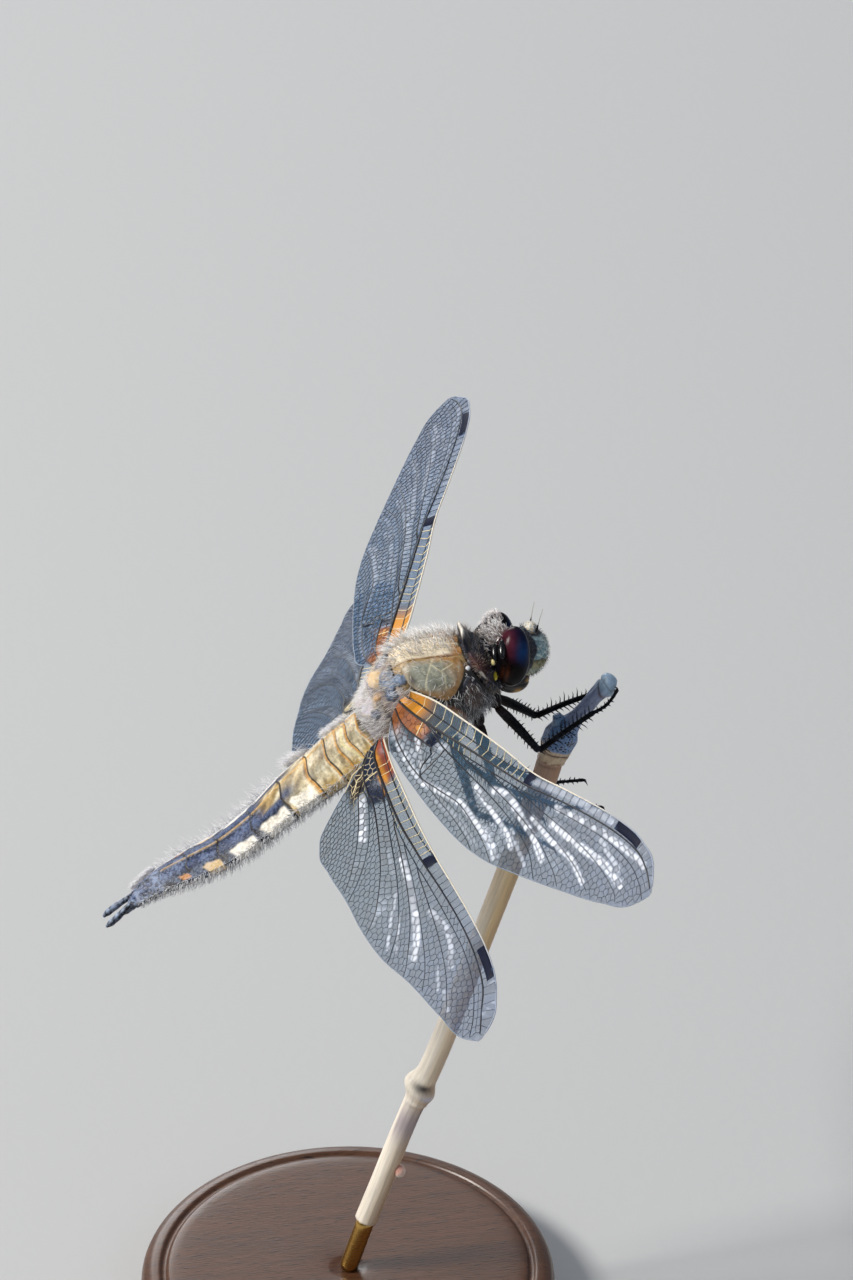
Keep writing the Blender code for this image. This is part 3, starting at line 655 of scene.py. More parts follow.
x = np.linspace(-5.2, 5.1, 150)[:, None]
turn = circle(168)[None]
rings = wall(x, turn)
shrink = np.array([0.25, 0.6, 0.85])[:, None, None]
rings = np.concatenate([rings[:1].mean(1) + (rings[:1] - rings[:1].mean(1)) * shrink, rings,
                        rings[-1:].mean(1) + (rings[-1:] - rings[-1:].mean(1)) * shrink[::-1]])
around = off_crest(turn) + 0 * rings[..., 0]
x = rings[..., 0]
tint = layered(
    TAN,
    (WALL_BLACK, step(24, 62, around + 8 * np.sin(1.3 * x)) * step(-1.5, 0.5, x)),
    (REAR_GREY, (1 - step(-1.2, 0.0, x)) * (1 - step(60, 100, around))),
    (SEAM_AND_SHADE_DARK, 0.75 * hump(x, -2.75, 0.3) * (1 - step(70, 90, around))),
    (SIDE_BROWN, 0.7 * step(80, 120, around) * (1 - step(0.0, 1.0, x))),
    (SHELL_BLACK, 0.85 * step(138, 150, around)),
    # cream along the crest, partly a painted highlight
    (CREAM_AND_HIGHLIGHT, hump(around, 0, 3.0) * step(-0.4, 0.2, x)),
)
cast("thorax_wall", body_to_world(rings), tan_shell, "thorax_shell", ["thorax"], tint=tint,
     bloom=0.25 * (1 - step(-1.0, 0.0, x)))

# Plates: from its middle out to its outline, each plate follows the wall at an even height and
# rounds down to it at the rim; its back lies just inside the wall
for plate_name, (outline, raise_by, inner_colour, edge_colour) in PLATES.items():
    for side in (1, -1):
        corners = np.array(outline, float)
        corners = np.vstack([corners, corners[:1]])
        loop = smooth_path(corners, 109)[:-1]
        middle = loop.mean(axis=0)
        share = np.concatenate([np.linspace(0.04, 1, 30), [1.02], np.linspace(1, 0.04, 24)])
        spread = middle + (loop - middle) * np.minimum(share, 1.0)[:, None, None]
        x, turn = spread[..., 0], np.radians(spread[..., 1])
        upper = np.arange(len(share)) < 30
        lift = np.where(upper, raise_by * (1 - np.clip(share, 0, 1) ** 7) ** 0.5, -0.12)
        lift[30] = -0.05
        base = wall(x, turn)
        flat = np.stack([x, 0.065 * np.degrees(turn)], axis=-1)
        veins_here = [line_distance(flat, [(a, 0.065 * b) for a, b in line])
                      for line in PLATE_LINES.get(plate_name, ())]
        near_vein = np.min(veins_here, axis=0) if veins_here else np.full(x.shape, 9.0)
        normal = outward(wall, x, turn)
        normal *= np.sign((normal * (base - (0, 0, -0.5)) * (0, 1, 1)).sum(-1, keepdims=True))
        waves = 0.018 * np.sin(5.1 * x + 2 * turn) * np.sin(9.0 * turn) - 0.02 * hump(near_vein, 0, 0.07)
        placed = base + normal * (lift[:, None] + waves * upper[:, None])[..., None]
        placed = placed * (1, 1 if side < 0 else -1, 1)
        rim = np.clip(share, 0, 1)[:, None] + 0 * x
        off_keel = step(100, 106, np.degrees(turn)) if plate_name == "crest_band" else 1.0
        warm = off_keel
        if plate_name == "shoulder":
            warm = 0.35 + 0.65 * np.maximum(step(2.2, 3.8, x), step(142, 160, np.degrees(turn)))
        tint = layered(
            inner_colour,
            (edge_colour, warm * step(0.62, 0.93, rim + 0.06 * np.sin(7 * turn))),
            (SEAM_AND_SHADE_DARK, 0.8 * off_keel * step(0.955, 0.995, rim)),
        )
        if plate_name == "shoulder":
            tint = layered(tint, (GOLD, 0.7 * step(3.0, 4.3, x)))
            blotch = np.sin(6.3 * x + 2) * np.sin(11.0 * turn + 3 * x)
            blotch = blotch + 0.6 * np.sin(14.1 * x) * np.sin(19.0 * turn)
            tint = layered(
                tint,
                (BLOTCH_BROWN, 0.5 * step(0.35, 1.1, blotch) * step(2.2, 3.4, x)),
                (BLOTCH_PALE, 0.5 * step(0.4, 1.2, -blotch)),
                (LOW_OCHRE, 0.7 * step(148, 166, np.degrees(turn))),
                (SHOULDER_SPOT, 0.8 * hump(x, 0.75, 0.3) * hump(np.degrees(turn), 134, 7)),
            )
        if plate_name == "crest_band":
            tint = layered(
                tint,
                (RUST, 0.6 * step(106.5, 110.5, np.degrees(turn))),
                (CREST_ORANGE, 0.8 * step(4.3, 4.9, x)),
            )
        tint = layered(tint, (LINE_YELLOW, 0.8 * (1 - step(0.02, 0.075, near_vein))))
        cast(f"{plate_name}_plate_{'right' if side < 0 else 'left'}", body_to_world(placed), tan_shell,
             "thorax_shell", tint=tint, bloom=0.5 if "deck" in plate_name else 0.1)

# Deck knobs: dented ovals, one mesh; the underside of each is darkened with the seam colour as painted
# shade
egg = ball(np.linspace(0.06, np.pi - 0.06, 22)[:, None], circle(30)[None])
parts, tints = [], []
for number, (middle, sizes, side_turn, colour) in enumerate(KNOBS):
    dents = 1 + 0.09 * np.sin(4 * egg[..., :1] * 1.7 + number) * np.cos(5 * egg[..., 1:2] + 2 * number)
    shaped = egg * dents * sizes
    c, s = np.cos(radians(side_turn)), np.sin(radians(side_turn))
    shaped = np.stack([c * shaped[..., 0] - s * shaped[..., 1], s * shaped[..., 0] + c * shaped[..., 1],
                       shaped[..., 2]], axis=-1) + middle
    parts.append(closed_rings(body_to_world(shaped)))
    tints.append(with_poles(layered(colour, (SEAM_AND_SHADE_DARK, 0.55 * step(0.2, -0.5, egg[..., 2])))))
tints = np.concatenate(tints)
make_piece("deck_knobs", *joined(parts), tan_shell, "thorax_shell", (), {
    "tint": tints, "bloom": np.full(len(tints), 0.35)})

# Collar: a dark ring of shell with pinkish-brown sides and a pale spot, and the upright lobe behind
# it, a thick black bar across the neck with a cream crest
dark_shell = chitin("black_chitin", 0.3, 0.24, 0.25, 0.22, 0.05)
x = np.linspace(5.2, 6.9, 44)[:, None]
turn = circle(110)[None]
rings = trunk(COLLAR, 3.0, x, turn)
pleats = 1 + 0.035 * np.sin(9.0 * x) + 0.02 * np.sin(7 * turn + 3 * x)
rings[..., 1:] = (rings[..., 1:] - (0, -0.8)) * pleats[..., None] + (0, -0.8)
around = off_crest(turn) + 0 * x
tint = layered(
    SHELL_BLACK,
    (PINK_SHELL, 0.8 * hump(around, 62, 24) * hump(x, 5.8, 0.5)),
    (COLLAR_SPOT, step(0.35, 0.6, hump(around, 86, 6) * hump(x, 5.6, 0.2))),
)
cast("collar", body_to_world(rings), dark_shell, "black_shell", ["prothorax"], tint=tint, bloom=0.1)
across = np.linspace(-1.0, 1.0, 60)[:, None]
turn = circle(28)[None]
tall = 1.4 * (1 - np.abs(across) ** 4) ** 0.5 * (1 - 0.22 * hump(across, 0, 0.18)) + 0.02
lobe = np.stack([
    5.9 + 0.36 * np.cos(turn) * (1 - 0.4 * np.abs(across)) + 0.25 * np.sin(turn) * tall - 0.35 * across**2,
    1.75 * across + 0 * turn,
    1.75 - 0.25 * across**2 + tall * np.sin(turn),
], axis=-1)
tint = layered(
    SHELL_BLACK,
    (LOBE_CREAM, 0.95 * step(0.75, 0.96, np.sin(turn)) * (1 - step(0.4, 0.75, np.abs(across)))),
)
cast("collar_lobe", body_to_world(lobe), dark_shell, "black_shell", tint=tint, bloom=0.1)

# Abdomen. Ten tubes of thin shell, each tucked under the rim of the one before: a keeled roof that
# overhangs a softer belly. The first are tan and let light in, the middle ones turn blue-black
# with cream side patches, and the last carry a bluish bloom. A golden line follows the keel.
JOINTS = (-5.5, -6.7, -9.1, -11.3, -14.5, -18.2, -21.8, -24.8, -27.4, -29.7, -30.8)
KEEL_HEIGHT = (1.75, 1.5, 1.15, 0.6, -0.1, -1.1, -1.45, -1.1, -0.8, -0.85, -1.2)
HALF_WIDTH = (2.5, 2.8, 3.1, 3.05, 2.85, 2.5, 2.25, 2.0, 1.65, 1.25, 0.95)
SIDE_DROP = (2.1, 2.2, 2.1, 1.75, 1.25, 0.95, 0.85, 0.8, 0.75, 0.65, 0.5)
DEPTH = (4.2, 4.4, 4.2, 3.7, 3.1, 2.6, 2.4, 2.2, 2.0, 1.6, 1.2)
ROOF_TAN, ROOF_PALE, RING_GOLD, ROOF_DARK, ROOF_BLUE = "#B59A68", "#E0D0AA", "#D99A3C", "#0B1024", "#3E568A"
PATCH_CREAM, PATCH_WARM, PATCH_ORANGE, BELLY = "#FFF7E6", "#EFCB8C", "#DB9138", "#3A302C"
KEEL_GOLD, SMUDGE = "#E2B978", "#5B3A26"
CLOUD_BROWN, CLOUD_PALE, KEEL_HIGHLIGHT, SIDE_GREY = "#6E5A3C", "#F6ECCF", "#FFF3D8", "#A9A58C"
EDGE_GOLD, RING_PALE, RING_LINE, ARCH_YELLOW = "#DDB96E", "#F3E7C6", "#3A2A1C", "#F0E2A8"
RIM_BLACK, OVERHANG_SHADE, CLASPER_BLACK, CLASPER_HIGHLIGHT = "#1A1512", "#17141A", "#0E0F15", "#A9B8CE"
# side patches: from and to along the segment, from and to across the roof, and colour
SIDE_PATCHES = {
    4: (0.15, 0.97, 0.66, 1.2, PATCH_CREAM), 5: (0.05, 0.95, 0.64, 1.2, PATCH_CREAM),
    6: (0.08, 0.88, 0.66, 1.2, PATCH_CREAM), 7: (0.12, 0.74, 0.70, 1.2, PATCH_WARM),
    8: (0.10, 0.52, 0.74, 0.95, PATCH_ORANGE),
}
CERCUS = ((-30.9, 0.40, -1.55, 0.20), (-31.3, 0.48, -1.62, 0.24), (-32.0, 0.62, -1.72, 0.26),
          (-32.8, 0.74, -1.82, 0.31), (-33.5, 0.76, -1.92, 0.28), (-34.0, 0.72, -2.0, 0.12))
LOWER_HOOK = ((-30.6, 0.0, -1.95, 0.42), (-31.4, 0.0, -2.15, 0.40), (-32.2, 0.0, -2.2, 0.32),
              (-32.8, 0.0, -2.1, 0.14))


def section(x, turn):
    """The abdomen's wall in body axes. With s = sin of the turn, across = s * half width; the roof
    is keel - drop * |s|^1.45 and the belly keel - drop - (depth - drop) * sqrt(1 - s^2)."""
    at = np.array(JOINTS)[::-1]
    keel, half, drop, deep = (np.interp(x, *smooth_path(np.stack([at, np.array(c)[::-1]], axis=1), 300).T)
                              for c in (KEEL_HEIGHT, HALF_WIDTH, SIDE_DROP, DEPTH))
    s = np.sin(turn)
    roof = keel - drop * np.abs(s) ** 1.45
    belly = keel - drop - (deep - drop) * np.sqrt(np.clip(1 - s * s, 0, 1))
    return np.stack([x + 0 * s, s * half, np.where(np.cos(turn) >= 0, roof, belly)], axis=-1)


def segment_colours(number, share, s, roof):
    """Tint and bloom of a segment by the share of its length, the place across and the side."""
    side = np.abs(s)
    dark = {1: 0, 2: 0, 3: 0.05, 4: 0.12, 5: 0.8}.get(number, 1.0) + 0 * share + 0 * s
    if number == 4:
        dark = 0.85 * step(0.45, 0.95, share + 0.25 * side) * hump(side, 0.42, 0.22)
    if number == 5:
        dark = np.maximum(step(0.30, 0.46, side), step(0.45, 1.0, share + 0.3 * side))
    tint = layered(ROOF_TAN, (ROOF_PALE, step(0.2, 0.7, side) * (1 - step(0.8, 0.95, side))))
    cloud = np.sin(7.0 * share + 3.1 * s + number) * np.sin(8.3 * s + 2.0 * number)
    cloud = cloud + 0.5 * np.sin(17 * share + 13 * s)
    tint = layered(
        tint,
        (CLOUD_BROWN, 0.75 * step(0.1, 1.1, cloud) * (number <= 5)),
        (CLOUD_PALE, 0.8 * step(0.2, 1.1, -cloud) * (number <= 5)),
    )
    tan_front_share = (number <= 3) + 0.5 * (number == 4)
    tint = layered(
        tint,
        # painted highlight: the front segments are lightened near the keel
        (KEEL_HIGHLIGHT, 0.65 * tan_front_share * hump(side, 0.16, 0.16) * step(0.1, 0.3, share)),
        (SIDE_GREY, 0.5 * tan_front_share * hump(side, 0.48, 0.14)),
        (EDGE_GOLD, 0.6 * tan_front_share * step(0.72, 0.95, side)),
        (ROOF_DARK, dark),
        (ROOF_BLUE, 0.6 * dark * hump(side, 0.35, 0.22)),
    )
    if number <= 4:
        tint = layered(
            tint,
            (RING_GOLD, 0.9 * hump(share, 0.06, 0.07)),
            (RING_PALE, 0.8 * hump(share, 0.17, 0.05)),
        )
    if number == 2:
        tint = layered(
            tint,
            (RING_GOLD, 0.9 * hump(share, 0.52, 0.05)),
            (RING_LINE, 0.8 * hump(share, 0.47, 0.025)),
            (ARCH_YELLOW, 0.8 * hump(share - 0.3 + 0.35 * np.abs(side - 0.4), 0, 0.05)),
        )
    if number in (3, 4):
        tint = layered(
            tint,
            (SMUDGE, 0.7 * hump(share, 0.12 if number == 4 else 0.2, 0.1) * hump(side, 0.3, 0.14)),
        )
    if number in SIDE_PATCHES:
        start, end, inner, outer, colour = SIDE_PATCHES[number]
        wobble = 0.04 * np.sin(9 * share + number) + 0.02 * np.sin(23 * share)
        patch = step(start, start + 0.06, share) * (1 - step(end - 0.1, end, share + 0.25 * (side - inner)))
        patch = patch * step(inner + wobble - 0.03, inner + wobble + 0.05, side)
        patch = patch * (1 - step(outer - 0.03, outer + 0.01, side))
        tint = layered(tint, (colour, patch))
    tint = layered(
        tint,
        (KEEL_GOLD, 0.9 * hump(side, 0, 0.045) * (number <= 8)),
        (RIM_BLACK, 0.9 * step(0.955, 0.985, share)),
    )
    under = 1.0 - roof
    tint = layered(
        tint,
        (BELLY, under * step(0.90, 0.84, side)),
        # painted shade: a near-black band on the belly just under the roof's overhanging edge
        (OVERHANG_SHADE, 0.85 * under * hump(side, 0.86, 0.05)),
    )
    bloom = {6: 0.3, 7: 0.4, 8: 0.45, 9: 0.75, 10: 0.75}.get(number, 0.2 if number == 5 else 0.03)
    return tint, (bloom + 0 * side) * (dark > 0.5)


# abdomen shell: thin and a little glossy; the tan front segments look waxy, partly through a painted
# highlight near the keel, and the rest look like ink
abdomen_skin = chitin("abdomen_chitin", 0.38, 0.34, 0.45, 0.24, 0.02)
turn = circle(132)[None]
s, roof = np.sin(turn), (np.cos(turn) >= 0).astype(float)
for number, (begin, finish) in enumerate(zip(JOINTS, JOINTS[1:]), start=1):
    share = np.concatenate(
        [[-0.09], np.linspace(-0.06, 0.9, 38), np.linspace(0.92, 1.035, 12), [1.03, 0.99]])[:, None]
    bow = 0.42 * hump(np.abs(s), 0.45, 0.3) * roof
    rings = section(begin + (finish - begin) * np.clip(share, -0.5, 1.2) - bow, turn)
    middle = rings.mean(axis=1, keepdims=True)
    swell = 1 - 0.07 * (1 - step(-0.09, 0.04, share)) + 0.012 * np.sin(np.pi * np.clip(share, 0, 1))
    swell = swell + 0.02 * step(0.86, 0.96, share) + 0.022 * hump(np.abs(s), 0.58, 0.03) * roof
    swell = swell + 0.014 * hump(share, 0.52, 0.015) * (number == 2)
    swell[-2:] = [[0.93], [0.7]] * np.ones_like(swell[:2])
    swell[0] *= 0.75
    keel = 0.07 * hump(s, 0, 0.05) * roof * step(0.0, 0.1, share) * (1 - step(0.9, 1.0, share))
    rings = middle + (rings - middle) * swell[..., None]
    rings[..., 2] += keel
    tint, bloom = segment_colours(number, share, s + 0 * share, roof)
    cast(f"abdomen_segment_{number}", body_to_world(rings), abdomen_skin, "abdomen_shell",
         [f"abdomen_{number}"], tint=tint, bloom=bloom)

# Claspers: two curved black rods, thickest past their middle, and a shorter hook under them
for name, stations, stands_for, flip in (("clasper_left", CERCUS, ["cercus_left"], 1),
                                         ("clasper_right", CERCUS, ["cercus_right"], -1),
                                         ("clasper_hook", LOWER_HOOK, (), 1)):
    line = smooth_path(stations, 60)
    radii = line[:, 3:] * (1 + 0.05 * np.sin(np.linspace(0, 26, 60))[:, None])
    line = line[:, :3] * (1, flip, 1)
    rings = swept(line, radii, 28, 0.85)
    upper = (rings[..., 2] - line[:, 2:]) / radii
    tint = layered(
        CLASPER_BLACK,
        # painted highlight: bluish-white along the upper side of each rod
        (CLASPER_HIGHLIGHT, 0.8 * step(0.2, 0.9, upper) * (0.6 + 0.4 * np.sin(9 * rings[..., 0]))),
    )
    cast(name, body_to_world(rings), dark_shell, "black_shell", stands_for, tint=tint, bloom=0.5)

# Head. Two huge domes of compound eye, dark maroon above with a blue sheen, almost wrap a black
# capsule. In front stand the pale green face with its bulging brow, the granular knob of the
# vertex with the two bristle feelers, and below the yellow and black lips.
HEAD_PLACE, HEAD_TURN = np.array([13.4, 0.0, 69.0]), [radians(angle) for angle in (-15.0, 8.0, 8.0)]
CAPSULE_AT, CAPSULE_SIZES = (-0.1, 0.0, -0.15), (1.55, 2.9, 2.5)
EYE_AT, EYE_SIZES, EYE_LEAN = (0.2, 1.9, 0.1), (1.5, 1.7, 2.75), radians(4.0)
FACE_AT, FACE_SIZES, FACE_LEAN = (1.95, 0.0, -0.05), (2.08, 1.98, 2.18), radians(8.0)
MOUTH_AT, MOUTH_SIZES = (0.94, 0.0, -2.42), (1.56, 1.56, 1.2)
KNOB_AT, KNOB_SIZES = (2.45, 0.0, 1.84), (0.62, 0.78, 0.66)
FEELER_ROOT, FEELER_WAY, FEELER_LENGTH = (2.7, 0.75, 1.75), (0.14, 0.12, 0.98), 2.2
EYE_MAROON, EYE_BLUE, EYE_LOW, EYE_BROWN = "#2B0D15", "#0A1330", "#050304", "#432010"
BROW_GREEN, FACE_CREAM, CLYPEUS_OLIVE, LIP_YELLOW = "#9CC0C6", "#E6EEE4", "#A79C62", "#C4922C"
SIDES = ((1, "left"), (-1, "right"))
REAR_YELLOW, FEELER_PALE = ("#FBEBA6", "#E6CF3A"), "#B9B5A2"
EYE_LIT_MAROON, EYE_BLUE_HIGHLIGHT, EYE_REAR, CAPSULE_BLACK = "#562230", "#1B4478", "#0C0A0E", "#131117"
CAPSULE_TOP, BEAD_BLACK, REAR_LILAC, REAR_SLATE = "#8E8078", "#0A090D", "#E2DCE8", "#8F8A9C"
FLECK_HIGHLIGHT, FLECK_BLUE, GROOVE_DARK, CLYPEUS_PALE = "#EEF2E6", "#5E7F88", "#2A2A26", "#B4BEAA"
FACE_EDGE, LIP_BLACK, KNOB_BROWN, KNOB_PALE = "#0D101E", "#0B090B", "#5A5348", "#DCD8C8"
KNOB_BLUE, KNOB_OCHRE = "#7E93A8", "#C79A5A"
# yellow blisters on the rear rim of the capsule: place in head axes and half sizes
REAR_SPOTS = (((-1.38, 1.68, -0.25), (0.2, 0.27, 0.29)), ((-1.16, 1.74, -1.46), (0.2, 0.26, 0.40)))
# temple beads: middles, the way they run, the way they stand out, and their half sizes
TEMPLE_BEADS = ((-1.02, 2.66, 1.2), (-1.3, 1.75, 0.75))
BEAD_RUN, BEAD_RISE = (0.21, -0.659, 0.722), (-0.678, 0.434, 0.593)
BEAD_SIZES = (0.9, 0.36, 0.34)
REAR_RIM = ((-1.25, 1.5, -1.7, 0.08), (-1.02, 1.36, -2.1, 0.17), (-0.65, 1.22, -2.48, 0.18),
            (-0.3, 1.12, -2.7, 0.08))
head_axes = np.array((Matrix.Rotation(HEAD_TURN[2], 3, "Z") @ Matrix.Rotation(HEAD_TURN[1], 3, "Y")
                      @ Matrix.Rotation(HEAD_TURN[0], 3, "X")))


def head_to_world(points):
    """Places in head axes (forward, left, up) turned and moved to where the head is held."""
    return np.asarray(points) @ head_axes.T + HEAD_PLACE


def globe(rows, columns):
    """Directions all over a sphere, from its top pole to its bottom one."""
    return ball(np.linspace(0.03, np.pi - 0.03, rows)[:, None], circle(columns)[None])


def leaned(points, angle):
    """Points turned about the left axis."""
    c, s = np.cos(angle), np.sin(angle)
    x, y, z = np.moveaxis(points, -1, 0)
    return np.stack([c * x + s * z, y, c * z - s * x], axis=-1)


# eye cuticle: clear and glassy over thousands of tiny six-sided facets, with deep colour beneath
eye_skin, tree, shader = start_material("compound_eye_facets")
eye_tint = add(tree, "Attribute", attribute_name="tint")
facets = add(tree, "TexVoronoi", {"Vector": own_place(tree), "Scale": 16000.0,
                                  "Randomness": 0.35})
depths = add(tree, "TexNoise", {"Vector": own_place(tree), "Scale": 1500.0, "Detail": 3.0})
glow = add(tree, "MapRange", {"Value": depths.outputs[0], "From Min": 0.3, "From Max": 0.7, "To Min": 0.75,
                              "To Max": 1.3})
plug(tree, shader, {
    "Base Color": add(tree, "VectorMath", {0: eye_tint.outputs["Color"], "Scale": glow.outputs[0]},
                      operation="SCALE").outputs[0],
    "Roughness": add(tree, "MapRange", {"Value": depths.outputs[0], "To Min": 0.16,
                                        "To Max": 0.30}).outputs[0],
    "Specular IOR Level": 0.10,
    "Normal": add(tree, "Bump", {"Height": facets.outputs["Distance"], "Strength": 0.12,
                                 "Distance": 0.000006}).outputs[0],
})
around = globe(120, 150)
for side, side_name in SIDES:
    # the dome bulges most above its middle and draws in a little towards the lower end
    level = around[..., 2:]
    sized = around * EYE_SIZES * (1 - 0.10 * np.clip(-level, 0, 1) ** 2 + 0.015 * hump(level, 0.35, 0.3))
    placed = leaned(sized, EYE_LEAN)
    placed = (placed + EYE_AT) * (1, side, 1)
    front, high = around[..., 0], around[..., 2]
    # painted light: a paler maroon where light falls on the upper back of the dome, and a paler blue glint
    # above the front
    tint = layered(
        EYE_MAROON,
        (EYE_LIT_MAROON, 0.8 * hump(front, -0.42, 0.3) * hump(high, 0.6, 0.35)),
        (EYE_BLUE, step(-0.62, 0.42, front)),
        (EYE_BLUE_HIGHLIGHT, 0.8 * hump(front, 0.2, 0.34) * hump(high, 0.36, 0.28)),
        (EYE_LOW, np.maximum(step(0.16, -0.18, high + 0.2 * front), 0.9 * step(0.5, 0.72, front))),
    )
    streaks = 0.65 + 0.35 * np.sin(24 * front + 2 + 2 * high)
    tint = layered(tint, (EYE_BROWN, 0.9 * hump(high, -0.38, 0.24) * hump(front, -0.58, 0.2) * streaks))
    rear = np.maximum(step(-0.84, -0.9, front + 0.1 * high), 0.9 * step(0.965, 0.985, high))
    rear = np.maximum(rear, step(0.35, 0.2, front) if side > 0 else rear)
    tint = layered(tint, (EYE_REAR, rear))
    cast("eye_" + side_name + "_dome", head_to_world(placed), eye_skin, "compound_eye",
         ["eye_" + side_name], tint=tint)

# Capsule: black and glossy, paler on its top, with a raised bead and a groove beside each eye
sideways = np.abs(around[..., 1:2])
placed = around * CAPSULE_SIZES * (1 + 0.04 * hump(sideways, 0.72, 0.1) - 0.05 * hump(sideways, 0.55, 0.06))
placed = placed + CAPSULE_AT
top = step(0.35, 0.75, around[..., 2]) * (1 - step(0.3, 0.7, sideways[..., 0]))
tint = layered(CAPSULE_BLACK, (CAPSULE_TOP, 0.6 * top))
gloss_shell = chitin("glossy_black_chitin", 0.12, 0.12, 0.08, 0.45, 0.1)
cast("capsule", head_to_world(placed), gloss_shell, "black_shell", ["head_capsule"], tint=tint, bloom=0.0)

# Temple beads: two glossy raised welts down the back of each eye. Blisters: flat yellow ovals
# below, then a pale raised rim round the eye's lower end
for side, side_name in SIDES:
    for number, middle in enumerate(TEMPLE_BEADS):
        frame_of = np.array([BEAD_RUN, np.cross(BEAD_RUN, BEAD_RISE), BEAD_RISE])
        bead = (globe(30, 40)[..., [2, 0, 1]] * BEAD_SIZES) @ frame_of + np.array(middle)
        cast(f"temple_bead_{number}_{side_name}", head_to_world(bead * (1, side, 1)), gloss_shell,
             "black_shell", tint=linear(BEAD_BLACK), bloom=0.0)
    line = smooth_path(REAR_RIM, 40)
    rings = head_to_world(swept(line[:, :3] * (1, side, 1), line[:, 3], 16))
    tint = layered(
        REAR_LILAC,
        (REAR_SLATE, step(0.2, 1.0, np.sin(1.1 * np.arange(40)))[:, None] + np.zeros((1, 16))),
    )
    cast(f"rear_rim_{side_name}", rings, gloss_shell, "face_shell", tint=tint, bloom=0.2)
    for number, (spot, sizes) in enumerate(REAR_SPOTS):
        blister_skin = globe(24, 32) * sizes + np.array(spot)
        cast(f"yellow_blister_{number}_{side_name}", head_to_world(blister_skin * (1, side, 1)),
             gloss_shell, "face_shell", tint=linear(REAR_YELLOW[number]), bloom=0.0)

# Face: brow, then a groove, then the two steps of the clypeus, in one shell that is black beside
# the eyes. Seen from the front the polar axis points forward.
polar = np.linspace(0.02, np.pi - 0.05, 130)[:, None]
turn = circle(160)[None]
way = ball(polar, turn)[..., [2, 0, 1]]
high, wide = way[..., 2], np.abs(way[..., 1])
swell = 1 + 0.05 * hump(high, 0.42, 0.28) * hump(wide, 0.3, 0.35) - 0.075 * hump(high, -0.12, 0.05)
swell = swell - 0.05 * hump(high, -0.5, 0.045) - 0.06 * hump(way[..., 1], 0, 0.05) * step(0.1, 0.5, high)
swell = swell - 0.05 * hump(wide, 0.8, 0.06) + 0.02 * hump(high, -0.3, 0.12)
swell = swell - 0.12 * hump(wide, 0.5, 0.25) * step(0.55, 0.8, high)
swell = swell + 0.006 * np.sin(31 * wide + 17 * high) * np.sin(23 * high)
placed = leaned(way * swell[..., None] * FACE_SIZES, FACE_LEAN) + FACE_AT
tint = layered(BROW_GREEN, (FACE_CREAM, hump(high, 0.35, 0.35) * hump(wide, 0.35, 0.25)))
mottle = np.sin(19 * way[..., 1] + 3) * np.sin(23 * high + 4 * way[..., 1])
mottle = mottle + 0.7 * np.sin(41 * way[..., 1]) * np.sin(37 * high)
tint = layered(
    tint,
    # painted highlights: the pale flecks of the mottle
    (FLECK_HIGHLIGHT, 0.8 * step(0.25, 1.1, mottle)),
    (FLECK_BLUE, 0.6 * step(0.3, 1.1, -mottle)),
    (GROOVE_DARK, 0.9 * hump(high, -0.12, 0.055) + 0.8 * hump(high, -0.5, 0.04)),
    (CLYPEUS_OLIVE, 0.85 * (1 - step(-0.16, -0.08, high))),
    (CLYPEUS_PALE, 0.85 * (1 - step(-0.54, -0.46, high))),
    (LIP_YELLOW, 0.8 * (1 - step(-0.86, -0.74, high)) * step(0.2, 0.35, wide)),
)
beside_eye = np.linalg.norm((np.abs(placed * (0, 1, 0)) + placed * (1, 0, 1) - EYE_AT) / EYE_SIZES, axis=-1)
reach = 1.34 + 0.24 * step(-0.1, 0.35, high)
tint = layered(
    tint,
    (FACE_EDGE, 1 - step(-0.12, 0.02, beside_eye - reach)),
    (FACE_EDGE, 0.95 * step(0.76, 0.86, high)),
)
face_skin = chitin("face_chitin", 0.25, 0.3, 0.5)
cast("face_shell_piece", head_to_world(placed), face_skin, "face_shell", ["face"], tint=tint, bloom=0.08)

# Lips: two yellow side lobes with a black middle, split by grooves
shape = globe(80, 110)
swell = 1 - 0.10 * hump(np.abs(shape[..., 1]), 0.22, 0.05) - 0.06 * hump(shape[..., 2], -0.1, 0.06)
placed = shape * swell[..., None] * MOUTH_SIZES + MOUTH_AT
stripe = 0.55 + 0.45 * np.sin(7 * shape[..., 0] + 5 * shape[..., 1] + 3 * shape[..., 2])
yellow = hump(shape[..., 2], -0.62, 0.22) * step(-0.45, 0.0, shape[..., 0])
yellow = yellow + hump(shape[..., 2], 0.08, 0.14) * hump(shape[..., 0], 0.7, 0.25)
tint = layered(LIP_BLACK, (LIP_YELLOW, 0.95 * yellow * stripe * step(0.18, 0.32, np.abs(shape[..., 1]))))
cast("lips", head_to_world(placed), face_skin, "face_shell", ["mouth"], tint=tint, bloom=0.0)

# Vertex knob: a pale grainy bump between the eyes
shape = globe(60, 80)
grains = 1 + 0.05 * np.sin(22 * shape[..., 0]) * np.sin(25 * shape[..., 1]) * np.sin(19 * shape[..., 2])
placed = shape * grains[..., None] * (1 - 0.10 * hump(shape[..., 1:2], 0, 0.15)) * KNOB_SIZES + KNOB_AT
tint = layered(KNOB_BROWN, (KNOB_PALE, step(-0.5, 0.4, shape[..., 2] + 0.3 * shape[..., 0])))
patchy = np.sin(7 * shape[..., 1] + 2) * np.sin(8 * shape[..., 0]) + 0.6 * np.sin(13 * shape[..., 2])
tint = layered(tint, (KNOB_BLUE, 0.6 * step(0.2, 0.9, patchy)), (KNOB_OCHRE, 0.5 * step(0.3, 1.0, -patchy)))
cast("vertex_knob", head_to_world(placed), face_skin, "face_shell", tint=tint, bloom=0.1)

